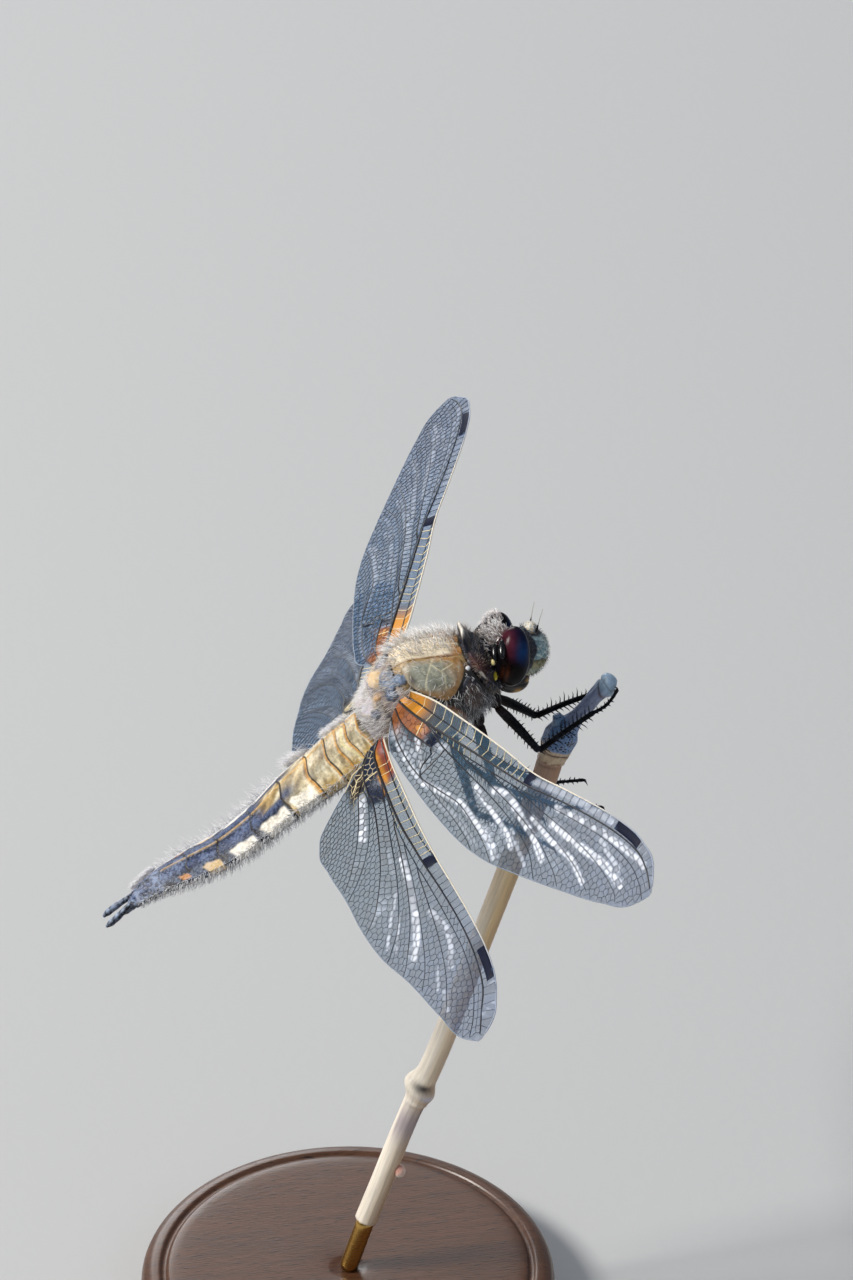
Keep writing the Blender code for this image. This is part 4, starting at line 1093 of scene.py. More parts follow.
# Feelers: two stout joints, then a bristle that thins to its tip
for side, side_name in SIDES:
    at = np.linspace(0, 1, 40)
    line = FEELER_ROOT + at[:, None] * FEELER_WAY * FEELER_LENGTH
    line[:, 0] += 0.10 * at**2
    radii = np.where(at < 0.2, 0.11, np.where(at < 0.32, 0.07, 0.04 - 0.025 * at))
    tint = layered(SHELL_BLACK, (FEELER_PALE, step(0.3, 0.5, at)[:, None] + np.zeros((1, 12))))
    cast(f"feeler_{side_name}", head_to_world(swept(line * (1, side, 1), radii, 12)), dark_shell,
         "black_shell", [f"antenna_{side_name}"], tint=tint, bloom=0.0)

# Legs. Six black spiny legs: a stout hip joint, a thigh thickest near the body, a thin straight
# shin, a foot of three short joints and two hooked claws. The spines of thigh and shin stand in
# two rows, and close like a basket round caught flies. Only the right forefoot meets the stem.
LEGS = {
    "fore_right": ((6.4, -1.0, -1.9), (9.7, -2.6, -5.8), (14.7, -1.3, -3.4), (16.75, -1.0, -1.55)),
    "fore_left": ((6.7, 1.0, -2.4), (10.5, 2.6, -6.0), (14.9, 1.5, -3.6), (16.7, 1.1, -2.8)),
    "mid_right": ((4.8, -1.9, -2.9), (5.7, -3.2, -8.6), (12.0, -1.6, -12.8), (15.4, -1.5, -13.3)),
    "mid_left": ((4.8, 1.9, -2.9), (5.9, 2.4, -9.4), (10.7, 1.7, -12.5), (14.4, 1.4, -12.4)),
    "hind_right": ((2.4, -2.1, -4.3), (4.0, -3.9, -10.6), (9.3, -1.6, -15.4), (11.3, -1.4, -17.2)),
    "hind_left": ((2.4, 2.1, -4.3), (4.3, 3.2, -10.3), (9.3, 1.7, -14.6), (11.0, 1.7, -16.3)),
}
THIGH_RADII, SHIN_RADII, FOOT_RADII = (0.36, 0.44, 0.41, 0.35, 0.29), (0.28, 0.25, 0.23, 0.21), (0.16, 0.13)
HIP_LENGTH, HIP_RADIUS = 1.3, 0.58
SPINE_GAP, SPINE_LENGTH, SPINE_RADIUS, SPINE_LEAN = 0.41, 1.05, 0.068, radians(66)
CLAW_LENGTH = 0.55
# feet that curl towards the stem: how far the middle bows out, and the way the claws hook
FOOT_CURL = {"fore_right": ((0.1, -0.1, -0.28), (-1.6, 0.5, -0.6)),
             "fore_left": ((0.0, 0.0, 0.0), (-0.3, -0.7, -0.6))}
LEG_BLACK, LEG_BROWN = "#040407", "#20130D"


def cones(roots, tips, radius, sides=5):
    """Slim closed cones from roots to tips, bent a little at their middle."""
    way = tips - roots
    helper = np.where(np.abs(way[:, 2:]) < 0.8 * np.linalg.norm(way, axis=1, keepdims=True),
                      (0.0, 0.0, 1.0), (1.0, 0.0, 0.0))
    across = np.cross(way, helper)
    across /= np.linalg.norm(across, axis=1, keepdims=True)
    over = np.cross(across, way)
    over /= np.linalg.norm(over, axis=1, keepdims=True)
    angles = circle(sides)[None, :, None]
    ring = across[:, None] * np.cos(angles) + over[:, None] * np.sin(angles)
    base, middle = roots[:, None] + ring * radius, (roots * 0.45 + tips * 0.55 + 0.06 * over)[:, None]
    points = np.concatenate([base, middle + ring * radius * 0.6, tips[:, None]], axis=1)
    n = np.arange(sides)
    after = np.roll(n, -1)
    wall_faces = np.stack([n, after, after + sides, n + sides], axis=1)
    tip_faces = np.stack([n + sides, after + sides, np.full(sides, 2 * sides)], axis=1)
    cap = np.stack([np.zeros(sides - 2, int), np.arange(2, sides), np.arange(1, sides - 1)], axis=1)
    start = (np.arange(len(roots)) * (2 * sides + 1))[:, None, None]
    threes = np.concatenate([tip_faces, cap])
    return points.reshape(-1, 3), [(wall_faces + start).reshape(-1, 4), (threes + start).reshape(-1, 3)]


leg_shell = chitin("leg_chitin", 0.2, 0.3, 0.2, 0.1, 0.0)
for leg, (hip, knee, ankle, claw) in LEGS.items():
    side = 1 if leg.endswith("left") else -1
    hip, knee, ankle, claw = (np.array(p) for p in (hip, knee, ankle, claw))
    inward = np.array([-0.35, -0.35 * side, 0.87])
    parts, spine_roots, spine_tips = [], [], []
    pieces = (
        (np.linspace(hip + inward * HIP_LENGTH, hip, 14), (0.5, HIP_RADIUS, HIP_RADIUS, 0.38)),
        (np.linspace(hip, knee, 60), THIGH_RADII), (np.linspace(knee, ankle, 60), SHIN_RADII))
    for line, radii in pieces:
        share = np.linspace(0, 1, len(line))
        girth = np.interp(share, np.linspace(0, 1, len(radii)), radii)
        pinch = 0.22 * hump(share, 0, 0.03), 0.2 * hump(share, 1, 0.02)
        girth = girth * (1 - pinch[0] - pinch[1] + 0.08 * hump(share, 0.96, 0.03))
        arch = 0.10 * np.sin(np.pi * share)[:, None] * np.array([0, 0, 1])
        parts.append(closed_rings(swept(line + arch, girth, 18)))
    bow, hook_way = (np.array(way) for way in FOOT_CURL.get(leg, ((0, 0, 0), (-0.2, 0, -1.0))))
    share = np.linspace(0, 1, 46)
    foot = np.linspace(ankle, claw, 46) + np.sin(np.pi * share)[:, None] * bow
    joints = 1 - 0.30 * (hump(share, 0.28, 0.03) + hump(share, 0.58, 0.03)) + 0.18 * (
        hump(share, 0.24, 0.04) + hump(share, 0.54, 0.04) + hump(share, 0.95, 0.05))
    parts.append(closed_rings(swept(foot, np.interp(share, (0, 1), FOOT_RADII) * joints, 14)))
    for start, end, radius, from_share in (
        (hip, knee, 0.36, 0.35), (knee, ankle, 0.2, 0.04), (ankle, claw, 0.12, 0.1)):
        way = (end - start) / np.linalg.norm(end - start)
        outer = np.cross(way, (0.0, 1.0, 0.0))
        outer /= np.linalg.norm(outer)
        reach = np.linalg.norm(end - start)
        at = np.arange(from_share * reach, reach - 0.25, SPINE_GAP)
        long_ = SPINE_LENGTH * (0.55 if radius > 0.3 else 0.35 if radius < 0.15 else 1.0)
        for row in (-1, 1):
            stand = row * (outer * 0.8 + np.array([0, 0.6, 0]))
            place = start + way * (at + 0.12 * row)[:, None] + np.sin(np.pi * at / reach)[:, None] * (
                bow if radius < 0.15 else np.array([0, 0, 0.1]))
            root = place + stand * radius * 0.85
            length = long_ * (0.72 + 0.28 * np.sin(at * 5.1 + row))
            length = length * np.sin(np.pi * np.clip(at / reach, 0.12, 0.9)) ** 0.3
            spine_roots.append(root)
            spine_tips.append(
                root + (stand * np.sin(SPINE_LEAN) + way * np.cos(SPINE_LEAN)) * length[:, None])
    made = cones(np.concatenate(spine_roots), np.concatenate(spine_tips), SPINE_RADIUS)
    parts.append(made)
    way = (claw - ankle) / np.linalg.norm(claw - ankle)
    for hook in (-1, 1):
        at = np.linspace(0, 1, 20)[:, None]
        line = claw - way * 0.05 + way * 0.8 * at * CLAW_LENGTH
        line = line + np.array([0, hook * 0.55, 0]) * at * CLAW_LENGTH
        line = line + hook_way * 0.75 * at**2 * CLAW_LENGTH
        parts.append(closed_rings(swept(line, (0.09 * (1 - at) ** 0.7 + 0.008)[:, 0], 9)))
    points, faces = joined(parts)
    from_hip = np.linalg.norm(points - hip, axis=1)
    tint = layered(LEG_BROWN, (LEG_BLACK, step(0.2, 2.2, from_hip)))
    make_piece("leg_" + leg, points + BODY_PLACE, faces, leg_shell, "black_shell",
               [f"leg_{leg}_{joint}" for joint in ("femur", "tibia", "tarsus")],
               {"tint": tint, "bloom": np.full(len(points), 0.03)})

# Wings. Each is a clear chitin membrane stretched in a net of hollow veins, tinted blue-grey partly by
# painted sky reflection. The long veins lie by turns on ridges and in folds, which stiffens the wing,
# and each cell between them bulges a little; along some folds the cells carry painted highlights.
# The root is amber, and the hindwing has an almost black patch beside the body.
FORE_LENGTH, HIND_LENGTH = 36.0, 34.5
FORE_ROOT, HIND_ROOT = (-2.3, 2.74, 1.45), (-3.4, 2.95, -1.7)
WING_SET = {
    "wing_fore_right": (27.5, -6.6, 47.4, 0.0),
    "wing_fore_left": (23.3, -7.2, 39.2, -0.2),
    "wing_hind_right": (6.5, 9.5, 40.0, 0.3),
    "wing_hind_left": (14.6, 20.4, 40.0, 1.4),
}
ANAL_DROP, ANAL_REACH, ANAL_EASE = 3.4, 7.0, 36.0
FORE_EDGES = (
    ((0.0, 0.9), (0.1, 1.3), (0.22, 1.15), (0.38, 0.75), (0.5, 0.3), (0.62, 0.5), (0.8, 0.6),
     (0.9, 0.0), (0.965, -1.25), (1.0, -3.2)),
    ((0.0, -1.0), (0.035, -3.4), (0.1, -4.8), (0.18, -5.8), (0.3, -7.0), (0.4, -7.75),
     (0.5, -7.95), (0.6, -7.6), (0.75, -6.85), (0.88, -6.0), (0.96, -5.0), (1.0, -3.5)),
)
HIND_EDGES = (
    ((0.0, -0.5), (0.09, -0.75), (0.2, -0.7), (0.33, -0.6), (0.43, -0.35), (0.55, 0.1), (0.69, 0.55),
     (0.76, 0.65), (0.85, 0.5), (0.92, -0.2), (0.975, -1.4), (1.0, -2.8)),
    ((0.0, -1.6), (0.03, -4.7), (0.05, -8.0), (0.07, -10.2), (0.12, -10.75), (0.24, -10.1),
     (0.37, -9.3), (0.48, -9.0), (0.6, -8.2), (0.7, -6.95), (0.86, -5.4), (0.96, -4.3), (1.0, -3.1)),
)
# Long veins from the front edge back: points along the wing, the height of the fold that the
# vein lies on, and the vein's radius at its root and tip. A vein starts on the one before it.
FORE_VEINS = {
    "subcosta": (((0.2, 0.42), (2.0, 0.4), (5.0, 0.22), (9.0, 0.06), (13.0, -0.12), (16.2, -0.05),
                  (17.9, 0.3)),
                 -0.30, 0.09, 0.06),
    "radius": (((0.1, -0.25), (1.5, -0.45), (4.0, -0.64), (10.0, -0.7), (15.0, -0.82), (18.0, -0.85),
                (21.0, -0.6),
                (25.0, -0.4), (29.0, -0.42), (32.3, -0.85), (34.2, -1.75), (35.6, -3.0)), 0.14, 0.13, 0.07),
    "radial_1": (((4.2, -0.66), (6.0, -1.0), (9.0, -1.32), (13.0, -1.42), (18.2, -1.42), (22.0, -1.35),
                  (28.0, -1.35), (32.0, -2.0), (34.2, -3.05), (35.4, -4.1)), -0.16, 0.07, 0.04),
    "radial_2": (((16.0, -1.42), (20.0, -1.95), (25.0, -2.55), (29.0, -3.4), (32.0, -4.6), (32.9, -5.4)),
                 0.12, 0.05, 0.035),
    "radial_3": (((13.2, -1.42), (18.0, -2.4), (23.0, -3.4), (27.0, -4.6), (29.5, -5.85)), -0.12, 0.05,
                 0.035),
    "radial_4": (((8.8, -1.32), (14.0, -2.3), (18.0, -3.1), (22.0, -4.25), (25.0, -5.75), (26.3, -6.75)),
                 0.16, 0.055, 0.04),
    "median": (((4.2, -0.66), (6.8, -1.62), (9.5, -2.2), (14.0, -3.05), (18.0, -4.05), (21.5, -5.5),
                (23.6, -7.25)),
               -0.20, 0.08, 0.045),
    "cubital_1": (((0.1, -0.9), (1.5, -1.55), (3.0, -1.95), (5.5, -2.15), (6.35, -2.4), (6.62, -4.6),
                   (9.2, -4.9),
                   (12.0, -5.0), (14.0, -5.6), (16.4, -6.6), (18.4, -7.92)), 0.24, 0.09, 0.045),
    "cubital_2": (((0.2, -1.7), (2.0, -3.1), (4.5, -4.25), (6.6, -4.85), (9.0, -5.5), (12.0, -6.3),
                   (14.6, -7.25),
                   (15.8, -7.9)), -0.10, 0.08, 0.04),
}
HIND_VEINS = {
    "subcosta": (((0.2, -0.75), (2.0, -1.15), (6.0, -1.35), (10.0, -1.25), (13.2, -0.85), (14.9, -0.35)),
                 -0.26, 0.09, 0.06),
    "radius": (((0.1, -1.1), (1.0, -1.9), (3.5, -2.15), (9.0, -2.15), (12.5, -1.8), (15.0, -1.5),
                (18.0, -1.05),
                (22.0, -0.6), (26.0, -0.45), (29.7, -0.85), (32.0, -1.85), (33.9, -2.75)), 0.14, 0.13,
               0.07),
    "radial_1": (((3.0, -2.14), (6.0, -2.45), (10.0, -2.6), (14.0, -2.3), (16.0, -2.05), (20.0, -1.65),
                  (25.0, -1.3), (29.0, -1.7), (32.0, -2.8), (33.5, -3.75)), -0.15, 0.07, 0.04),
    "radial_2": (((14.2, -2.28), (18.0, -2.5), (22.0, -2.8), (26.0, -3.45), (29.0, -4.5), (30.4, -5.25)),
                 0.10, 0.05, 0.035),
    "radial_3": (((11.2, -2.55), (16.0, -3.2), (20.0, -3.95), (24.0, -5.0), (26.2, -6.1)), -0.12, 0.05,
                 0.035),
    "radial_4": (((8.0, -2.55), (12.5, -3.1), (17.0, -4.0), (20.0, -5.0), (22.6, -6.4), (23.6, -7.2)),
                 0.16, 0.055, 0.04),
    "median": (((3.0, -2.14), (5.9, -2.85), (10.0, -3.6), (14.0, -4.4), (18.0, -5.7), (20.6, -7.4),
                (21.2, -8.05)),
               -0.22, 0.08, 0.045),
    "cubital_1": (((0.1, -1.9), (1.0, -3.0), (2.2, -3.65), (4.2, -3.85), (5.7, -3.75), (9.0, -4.35),
                   (12.5, -5.35),
                   (15.6, -7.0), (17.2, -8.85)), 0.22, 0.10, 0.045),
    "cubital_2": (((0.15, -2.4), (1.0, -3.6), (2.4, -4.35), (4.6, -4.35), (8.5, -5.6), (11.4, -7.6),
                   (12.9, -9.25)),
                  -0.16, 0.08, 0.04),
    "anal": (((1.8, -4.1), (3.5, -5.0), (6.0, -5.75), (8.5, -6.8), (10.5, -8.1), (11.7, -9.3)), 0.14, 0.07,
             0.04),
}
FORE_ANTENODALS = (2.7, 4.1, 5.4, 6.5, 7.7, 8.6, 9.6, 10.6, 11.7, 12.8, 13.8, 14.8, 15.8, 16.7)
HIND_ANTENODALS = (2.6, 3.55, 4.74, 5.64, 6.55, 7.3, 8.26, 9.4, 10.4, 11.4, 12.3, 13.0, 13.8)
# short stout veins: the triangle's outer side, the base stubs and the arculus
FORE_BARS = (((7.4, -1.8), (7.1, -3.2), (6.7, -4.7)), ((3.9, -0.65), (4.0, -1.3), (4.1, -2.05)))
HIND_BARS = (((5.9, -2.85), (5.0, -3.3), (4.4, -3.85)), ((2.9, -2.14), (2.8, -2.9), (2.7, -3.7)),
             ((1.6, -3.5), (1.5, -4.6), (2.4, -5.6)), ((0.9, -3.4), (0.7, -4.8), (1.4, -6.2)))
# folds with painted highlights: a line, its half width and how strongly
FORE_PAINTED_HIGHLIGHTS = (
    (((6.7, -5.1), (9.4, -5.0), (12.1, -4.94), (14.7, -5.6), (17.4, -6.5), (18.5, -7.4)), 0.27, 0.95),
    (((9.1, -5.7), (12.8, -6.25), (15.9, -7.2)), 0.3, 0.3),
    (((12.5, -3.1), (15.8, -4.2), (18.4, -5.2), (19.6, -6.0)), 0.25, 0.75),
    (((14.8, -2.6), (16.5, -2.4), (19.1, -3.4), (21.4, -4.3), (23.4, -5.5)), 0.33, 0.9),
    (((18.6, -4.7), (21.9, -6.7)), 0.22, 0.4),
    (((20.1, -2.95), (23.1, -3.75), (26.1, -4.2), (28.6, -5.4)), 0.27, 0.75),
    (((22.4, -2.5), (25.6, -2.9), (29.8, -3.2), (32.5, -4.0)), 0.35, 0.9),
    (((22.0, -1.2), (27.9, -1.0), (32.9, -1.45), (33.8, -1.7)), 0.3, 0.7),
    (((18.6, -0.2), (23.0, 0.15), (28.3, 0.14)), 0.32, 0.35),
    (((4.3, -2.2), (5.2, -3.0), (6.3, -4.1)), 0.28, 0.7),
    (((2.5, -3.4), (4.2, -4.2), (6.4, -4.95)), 0.32, 0.6),
    (((5.5, -2.0), (7.6, -1.6)), 0.3, 0.45), (((28.1, -1.6), (31.5, -3.0)), 0.27, 0.5),
    (((1.5, -2.6), (4.6, -3.5)), 0.6, 0.32),
)
HIND_PAINTED_HIGHLIGHTS = (
    (((3.6, -4.75), (5.8, -5.35), (7.9, -5.95)), 0.36, 0.85),
    (((12.7, -3.2), (16.9, -3.65), (20.7, -4.6), (22.6, -5.6)), 0.32, 0.8),
    (((15.3, -4.95), (18.3, -6.75), (20.0, -7.5)), 0.18, 0.5),
    (((17.7, -5.5), (20.8, -6.9)), 0.18, 0.5),
    (((19.5, -2.65), (21.4, -2.1), (23.2, -2.0), (25.9, -2.8)), 0.3, 0.5),
    (((25.2, -3.9), (27.1, -4.7)), 0.18, 0.4), (((27.7, -4.3), (29.6, -4.7)), 0.25, 0.35),
    (((11.0, -4.2), (13.4, -4.5)), 0.22, 0.25),
)
# how far out the nodus lies, and from where to where the spot near the tip and the nodus spot run
FORE_SPOTS = (17.6, (28.9, 32.2), (17.35, 18.4))
HIND_SPOTS = (14.7, (26.2, 29.7), (14.35, 15.5))
MEMBRANE_THICKNESS = 0.03
CELL = 0.60
CELL_BULGE, CELL_TILT = 0.022, 0.065
# clear film on each side: colour at the root and at the tip, cover, and the reach of the amber. The
# blue-grey colour and its cover are partly the film's own tint and partly painted sky reflection,
# bluer and denser on the left wings
FILM_AND_SKY_REFLECTION = {"right": ("#4A667C", "#4C6486", 0.36, 4.8), "left": ("#4A6C90", "#5A7090", 0.48, 7.6)}
AMBER, DEEP_AMBER, RED_AMBER = "#D48F28", "#94551F", "#8A3C1C"
PATCH_BLACK, PATCH_BROWN = "#0E1830", "#2B2019"
PAINTED_HIGHLIGHT_WHITE = "#F2F6FF"
VEIN_DARK, VEIN_PALE, VEIN_BROWN = "#1B1A20", "#F6E4B6", "#5E2C10"
COSTA_CREAM, COSTA_GREY, RIM_PALE, STIGMA_BLUE = "#F2E8D4", "#A4AEC2", "#8C98A8", "#060A18"
SHEEN_BLUE, STIGMA_SPECK, CROSS_GREY = "#DCE9FF", "#131C3A", "#2B2B32"


def edge_line(edge, share):
    """The wing's smooth edge at shares of its length: cubic pieces whose slopes never overshoot."""
    stations, offsets = np.array(edge).T
    slopes = np.gradient(offsets, stations)
    i = np.clip(np.searchsorted(stations, share) - 1, 0, len(stations) - 2)
    span, rise = stations[i + 1] - stations[i], offsets[i + 1] - offsets[i]
    t = (share - stations[i]) / span
    limit = 3 * np.abs(rise) / span
    start, end = np.clip(slopes[i], -limit, limit), np.clip(slopes[i + 1], -limit, limit)
    return offsets[i] + rise * t * t * (3 - 2 * t) + span * t * (1 - t) * ((1 - t) * start - t * end)


def vein_lines(veins, edges, length, x):
    """Places across the wing, and lifts, of the front edge, of every long vein and of the hind
    edge, at places x along it. Before its start a vein runs with the one before it, and past its
    end with an edge, whose lift is 0."""
    lead, trail = edge_line(edges[0], x / length), edge_line(edges[1], x / length)
    lines, lifts = [lead], [0 * x]
    for points, height, *_ in veins.values():
        path = smooth_path(points, 200)
        line = np.interp(x, path[:, 0], path[:, 1])
        line = np.where(x < path[0, 0], lines[-1], line)
        line = np.where(x > path[-1, 0], lead if path[-1, 1] > -1 else trail, line)
        begun, over = step(path[0, 0], path[0, 0] + 1.6, x), step(path[-1, 0] - 2.6, path[-1, 0], x)
        lines.append(np.clip(np.minimum(line, lines[-1]), trail, lead))
        lifts.append((lifts[-1] * (1 - begun) + height * begun) * (1 - over))
    return np.array([*lines, trail]), np.array([*lifts, 0 * x])


def fold_height(veins, edges, length, x, y):
    """Lift of the membrane: lifts of the veins on either side, mixed by the place between them,
    fading to a third at the wing tip and to nothing at the root."""
    shape, x, y = x.shape, x.ravel(), y.ravel()
    lines, lifts = vein_lines(veins, edges, length, x)
    above = np.clip((lines >= y).sum(axis=0) - 1, 0, len(lines) - 2)[None]
    top, bottom = np.take_along_axis(lines, above, 0)[0], np.take_along_axis(lines, above + 1, 0)[0]
    share = np.clip((top - y) / np.maximum(top - bottom, 0.05), 0, 1)
    lift_top, lift_low = (np.take_along_axis(lifts, above + k, 0)[0] for k in (0, 1))
    lift = lift_top * (1 - share) + lift_low * share
    return (lift * (1 - 0.68 * step(0.25, 1.0, x / length)) * step(-0.02, 0.05, x / length)).reshape(shape)


def to_world(name, x, y, lift):
    """Places on a wing moved to where the wing is set: swept, drooped and twisted about its root,
    with the tip bent and the hindwing's inner corner folded down."""
    fore, side = "fore" in name, 1 if "left" in name else -1
    length = FORE_LENGTH if fore else HIND_LENGTH
    sweep, droop, twist = np.radians(WING_SET[name][:3])
    lift = lift + WING_SET[name][3] * (x / length) ** 2
    if not fore:
        lift = lift - ANAL_DROP * np.exp(-((x / ANAL_REACH) ** 2)) * np.maximum(-y, 0) ** 1.5 / ANAL_EASE
    span = np.array([np.sin(sweep) * np.cos(droop), side * np.cos(sweep) * np.cos(droop), -np.sin(droop)])
    forward = np.array([np.cos(sweep), -side * np.sin(sweep), 0])
    normal = np.cross(span, forward)
    normal *= np.sign(normal[2])
    chordwise = forward * np.cos(twist) + normal * np.sin(twist)
    upright = np.cross(-side * span, chordwise)
    root = np.array(FORE_ROOT if fore else HIND_ROOT) * (1, side, 1)
    return BODY_PLACE + root + x[..., None] * span + y[..., None] * chordwise + lift[..., None] * upright


def even(line, spacing):
    """A line of points resampled at even spacing."""
    along = np.concatenate([[0], np.cumsum(np.linalg.norm(np.diff(line, axis=0), axis=1))])
    at = np.linspace(0, along[-1], max(int(along[-1] / spacing), 4) + 1)
    return np.stack([np.interp(at, along, column) for column in line.T], axis=1)


def enclosed(points, border):
    """Which points lie inside a closed border: the angles it subtends there add up to a full turn."""
    to = border[None] - points[:, None]
    after = np.roll(to, -1, 1)
    turn = np.arctan2(to[..., 0] * after[..., 1] - to[..., 1] * after[..., 0], (to * after).sum(-1))
    return np.abs(turn.sum(1)) > 3


def net(first, second, length, height, chance):
    """Cells between two lines: seeds in staggered rows, then the edges halfway between
    neighbouring seeds. Seeds mirrored over the border make the edges meet it squarely.
    Gives the seeds and the two ends of each edge."""
    first, second = even(first, 0.08), even(second, 0.08)
    border = np.vstack([first, second[::-1]])
    share = np.linspace(0, 1, 300)
    sides = [np.stack([np.interp(share, np.linspace(0, 1, len(e)), c) for c in e.T], 1)
             for e in (first, second)]
    middle = (sides[0] + sides[1]) / 2
    along = np.concatenate([[0], np.cumsum(np.linalg.norm(np.diff(middle, axis=0), axis=1))])
    seeds = []
    for at in np.arange(length * 0.5, along[-1], length):
        width = np.linalg.norm([np.interp(at, along, (sides[0] - sides[1])[:, k]) for k in (0, 1)])
        rows = max(int(round(width / height)), 1)
        row = np.arange(rows)
        place_along = at + (row % 2) * length * 0.5 * (rows > 1)
        across = (row + 0.5) / rows
        ends = [np.stack([np.interp(place_along, along, e[:, k]) for k in (0, 1)], 1) for e in sides]
        seeds.append(ends[0] * (1 - across[:, None]) + ends[1] * across[:, None])
    seeds = np.concatenate(seeds)
    seeds += chance.uniform(-0.09, 0.09, seeds.shape) * min(length, height)
    distance = np.linalg.norm(seeds[:, None] - border[None], axis=2)
    nearest = distance.argmin(axis=1)
    keep = enclosed(seeds, border) & (distance.min(1) > 0.18 * min(length, height))
    seeds, nearest, distance = seeds[keep], nearest[keep], distance[keep]
    if len(seeds) < 2:
        return seeds, np.empty((0, 2)), np.empty((0, 2))
    ghosts = [2 * border[nearest] - seeds]
    for half in (slice(0, len(first)), slice(len(first), len(border))):
        part = distance[:, half]
        close = part.min(1) < 1.3 * max(length, height)
        spot = border[half][part.argmin(1)]
        ghosts.append((2 * spot - seeds)[close])
    every = np.unique(np.round(np.concatenate([seeds, *ghosts]), 6), axis=0)
    made, _, triangles, *_ = geometry.delaunay_2d_cdt([Vector(p) for p in every.tolist()], [], [], 0, 1e-7)
    made = np.array([tuple(p) for p in made])
    real = np.zeros(len(made), bool)
    match = np.abs(made[:, None] - seeds[None]).sum(2)
    real[match.argmin(0)] = True
    triangles = np.array([t for t in triangles if len(t) == 3])
    a, b, c = (made[triangles[:, k]] for k in range(3))
    d = 2 * (a[:, 0] * (b - c)[:, 1] + b[:, 0] * (c - a)[:, 1] + c[:, 0] * (a - b)[:, 1])
    square = [(p**2).sum(1) for p in (a, b, c)]
    centre = np.stack([
        (square[0] * (b - c)[:, 1] + square[1] * (c - a)[:, 1] + square[2] * (a - b)[:, 1]) / d,
        (square[0] * (c - b)[:, 0] + square[1] * (a - c)[:, 0] + square[2] * (b - a)[:, 0]) / d,
    ], axis=1)
    sides_of = np.sort(np.concatenate([triangles[:, [0, 1]], triangles[:, [1, 2]], triangles[:, [2, 0]]]),
                       axis=1)
    owner = np.tile(np.arange(len(triangles)), 3)
    order = np.lexsort(sides_of.T)
    sides_of, owner = sides_of[order], owner[order]
    same = np.flatnonzero((sides_of[1:] == sides_of[:-1]).all(1))
    both = real[sides_of[same]].all(1)
    start, end = centre[owner[same[both]]], centre[owner[same[both] + 1]]
    for tip in (start, end):
        outside = ~enclosed(tip, border)
        tip[outside] = border[np.linalg.norm(tip[outside][:, None] - border[None], axis=2).argmin(1)]
    long_enough = np.linalg.norm(end - start, axis=1) > 0.02
    return seeds, start[long_enough], end[long_enough]


def struts(name, surface, starts, ends, radius):
    """Points and faces of one four-sided bar per vein, bent over the membrane at its middle."""
    at = np.array([0.0, 0.5, 1.0])[None, :, None]
    line = starts[:, None] * (1 - at) + ends[:, None] * at
    way = (ends - starts) / np.linalg.norm(ends - starts, axis=1, keepdims=True)
    across = np.stack([-way[:, 1], way[:, 0]], axis=1)[:, None]
    radius = np.broadcast_to(radius, len(starts))[:, None]
    lift = surface(line[..., 0], line[..., 1])
    corners = []
    for sideways, over in ((1, 0), (0, 1), (-1, 0), (0, -1)):
        place = line + across * radius[..., None] * sideways
        corners.append(to_world(name, place[..., 0], place[..., 1], lift + over * 1.25 * radius))
    points = np.stack(corners, axis=2)
    first = np.arange(len(starts))[:, None] * 12
    bar = np.concatenate([quads(3, 4), [[3, 2, 1, 0], [8, 9, 10, 11]]])
    return points.reshape(-1, 3), (first[:, None] + bar[None]).reshape(-1, 4)


def blister(name, surface, x, high, low, thickness):
    """A thick closed patch of a wing between two lines: a pillow, above and below the membrane."""
    v = np.linspace(0, 1, 14)[None]
    y = high[:, None] * (1 - v) + low[:, None] * v
    u = np.linspace(0, 1, len(x))[:, None]
    puff = thickness * np.clip(16 * u * (1 - u) * v * (1 - v), 0, 1) ** 0.35 + 0.004
    across = x[:, None] + 0 * v
    lift = surface(across, y)
    return to_world(name, across, y, lift + puff), to_world(name, across, y, lift - puff)


def shell(top, bottom):
    """Points and faces of a closed thin body from its two sides, joined all round by a rim."""
    rows, columns = top.shape[:2]
    count = rows * columns
    ids = np.arange(count).reshape(rows, columns)
    rim = np.concatenate([ids[:, 0], ids[-1, 1:], ids[-2::-1, -1], ids[0, -2:0:-1]])
    after = np.roll(rim, -1)
    face = quads(rows, columns, wrap=False)
    side = np.stack([rim, after, after + count, rim + count], axis=1)
    return np.concatenate([top.reshape(-1, 3), bottom.reshape(-1, 3)]), [
        face[:, ::-1], face + count, side[:, ::-1]]


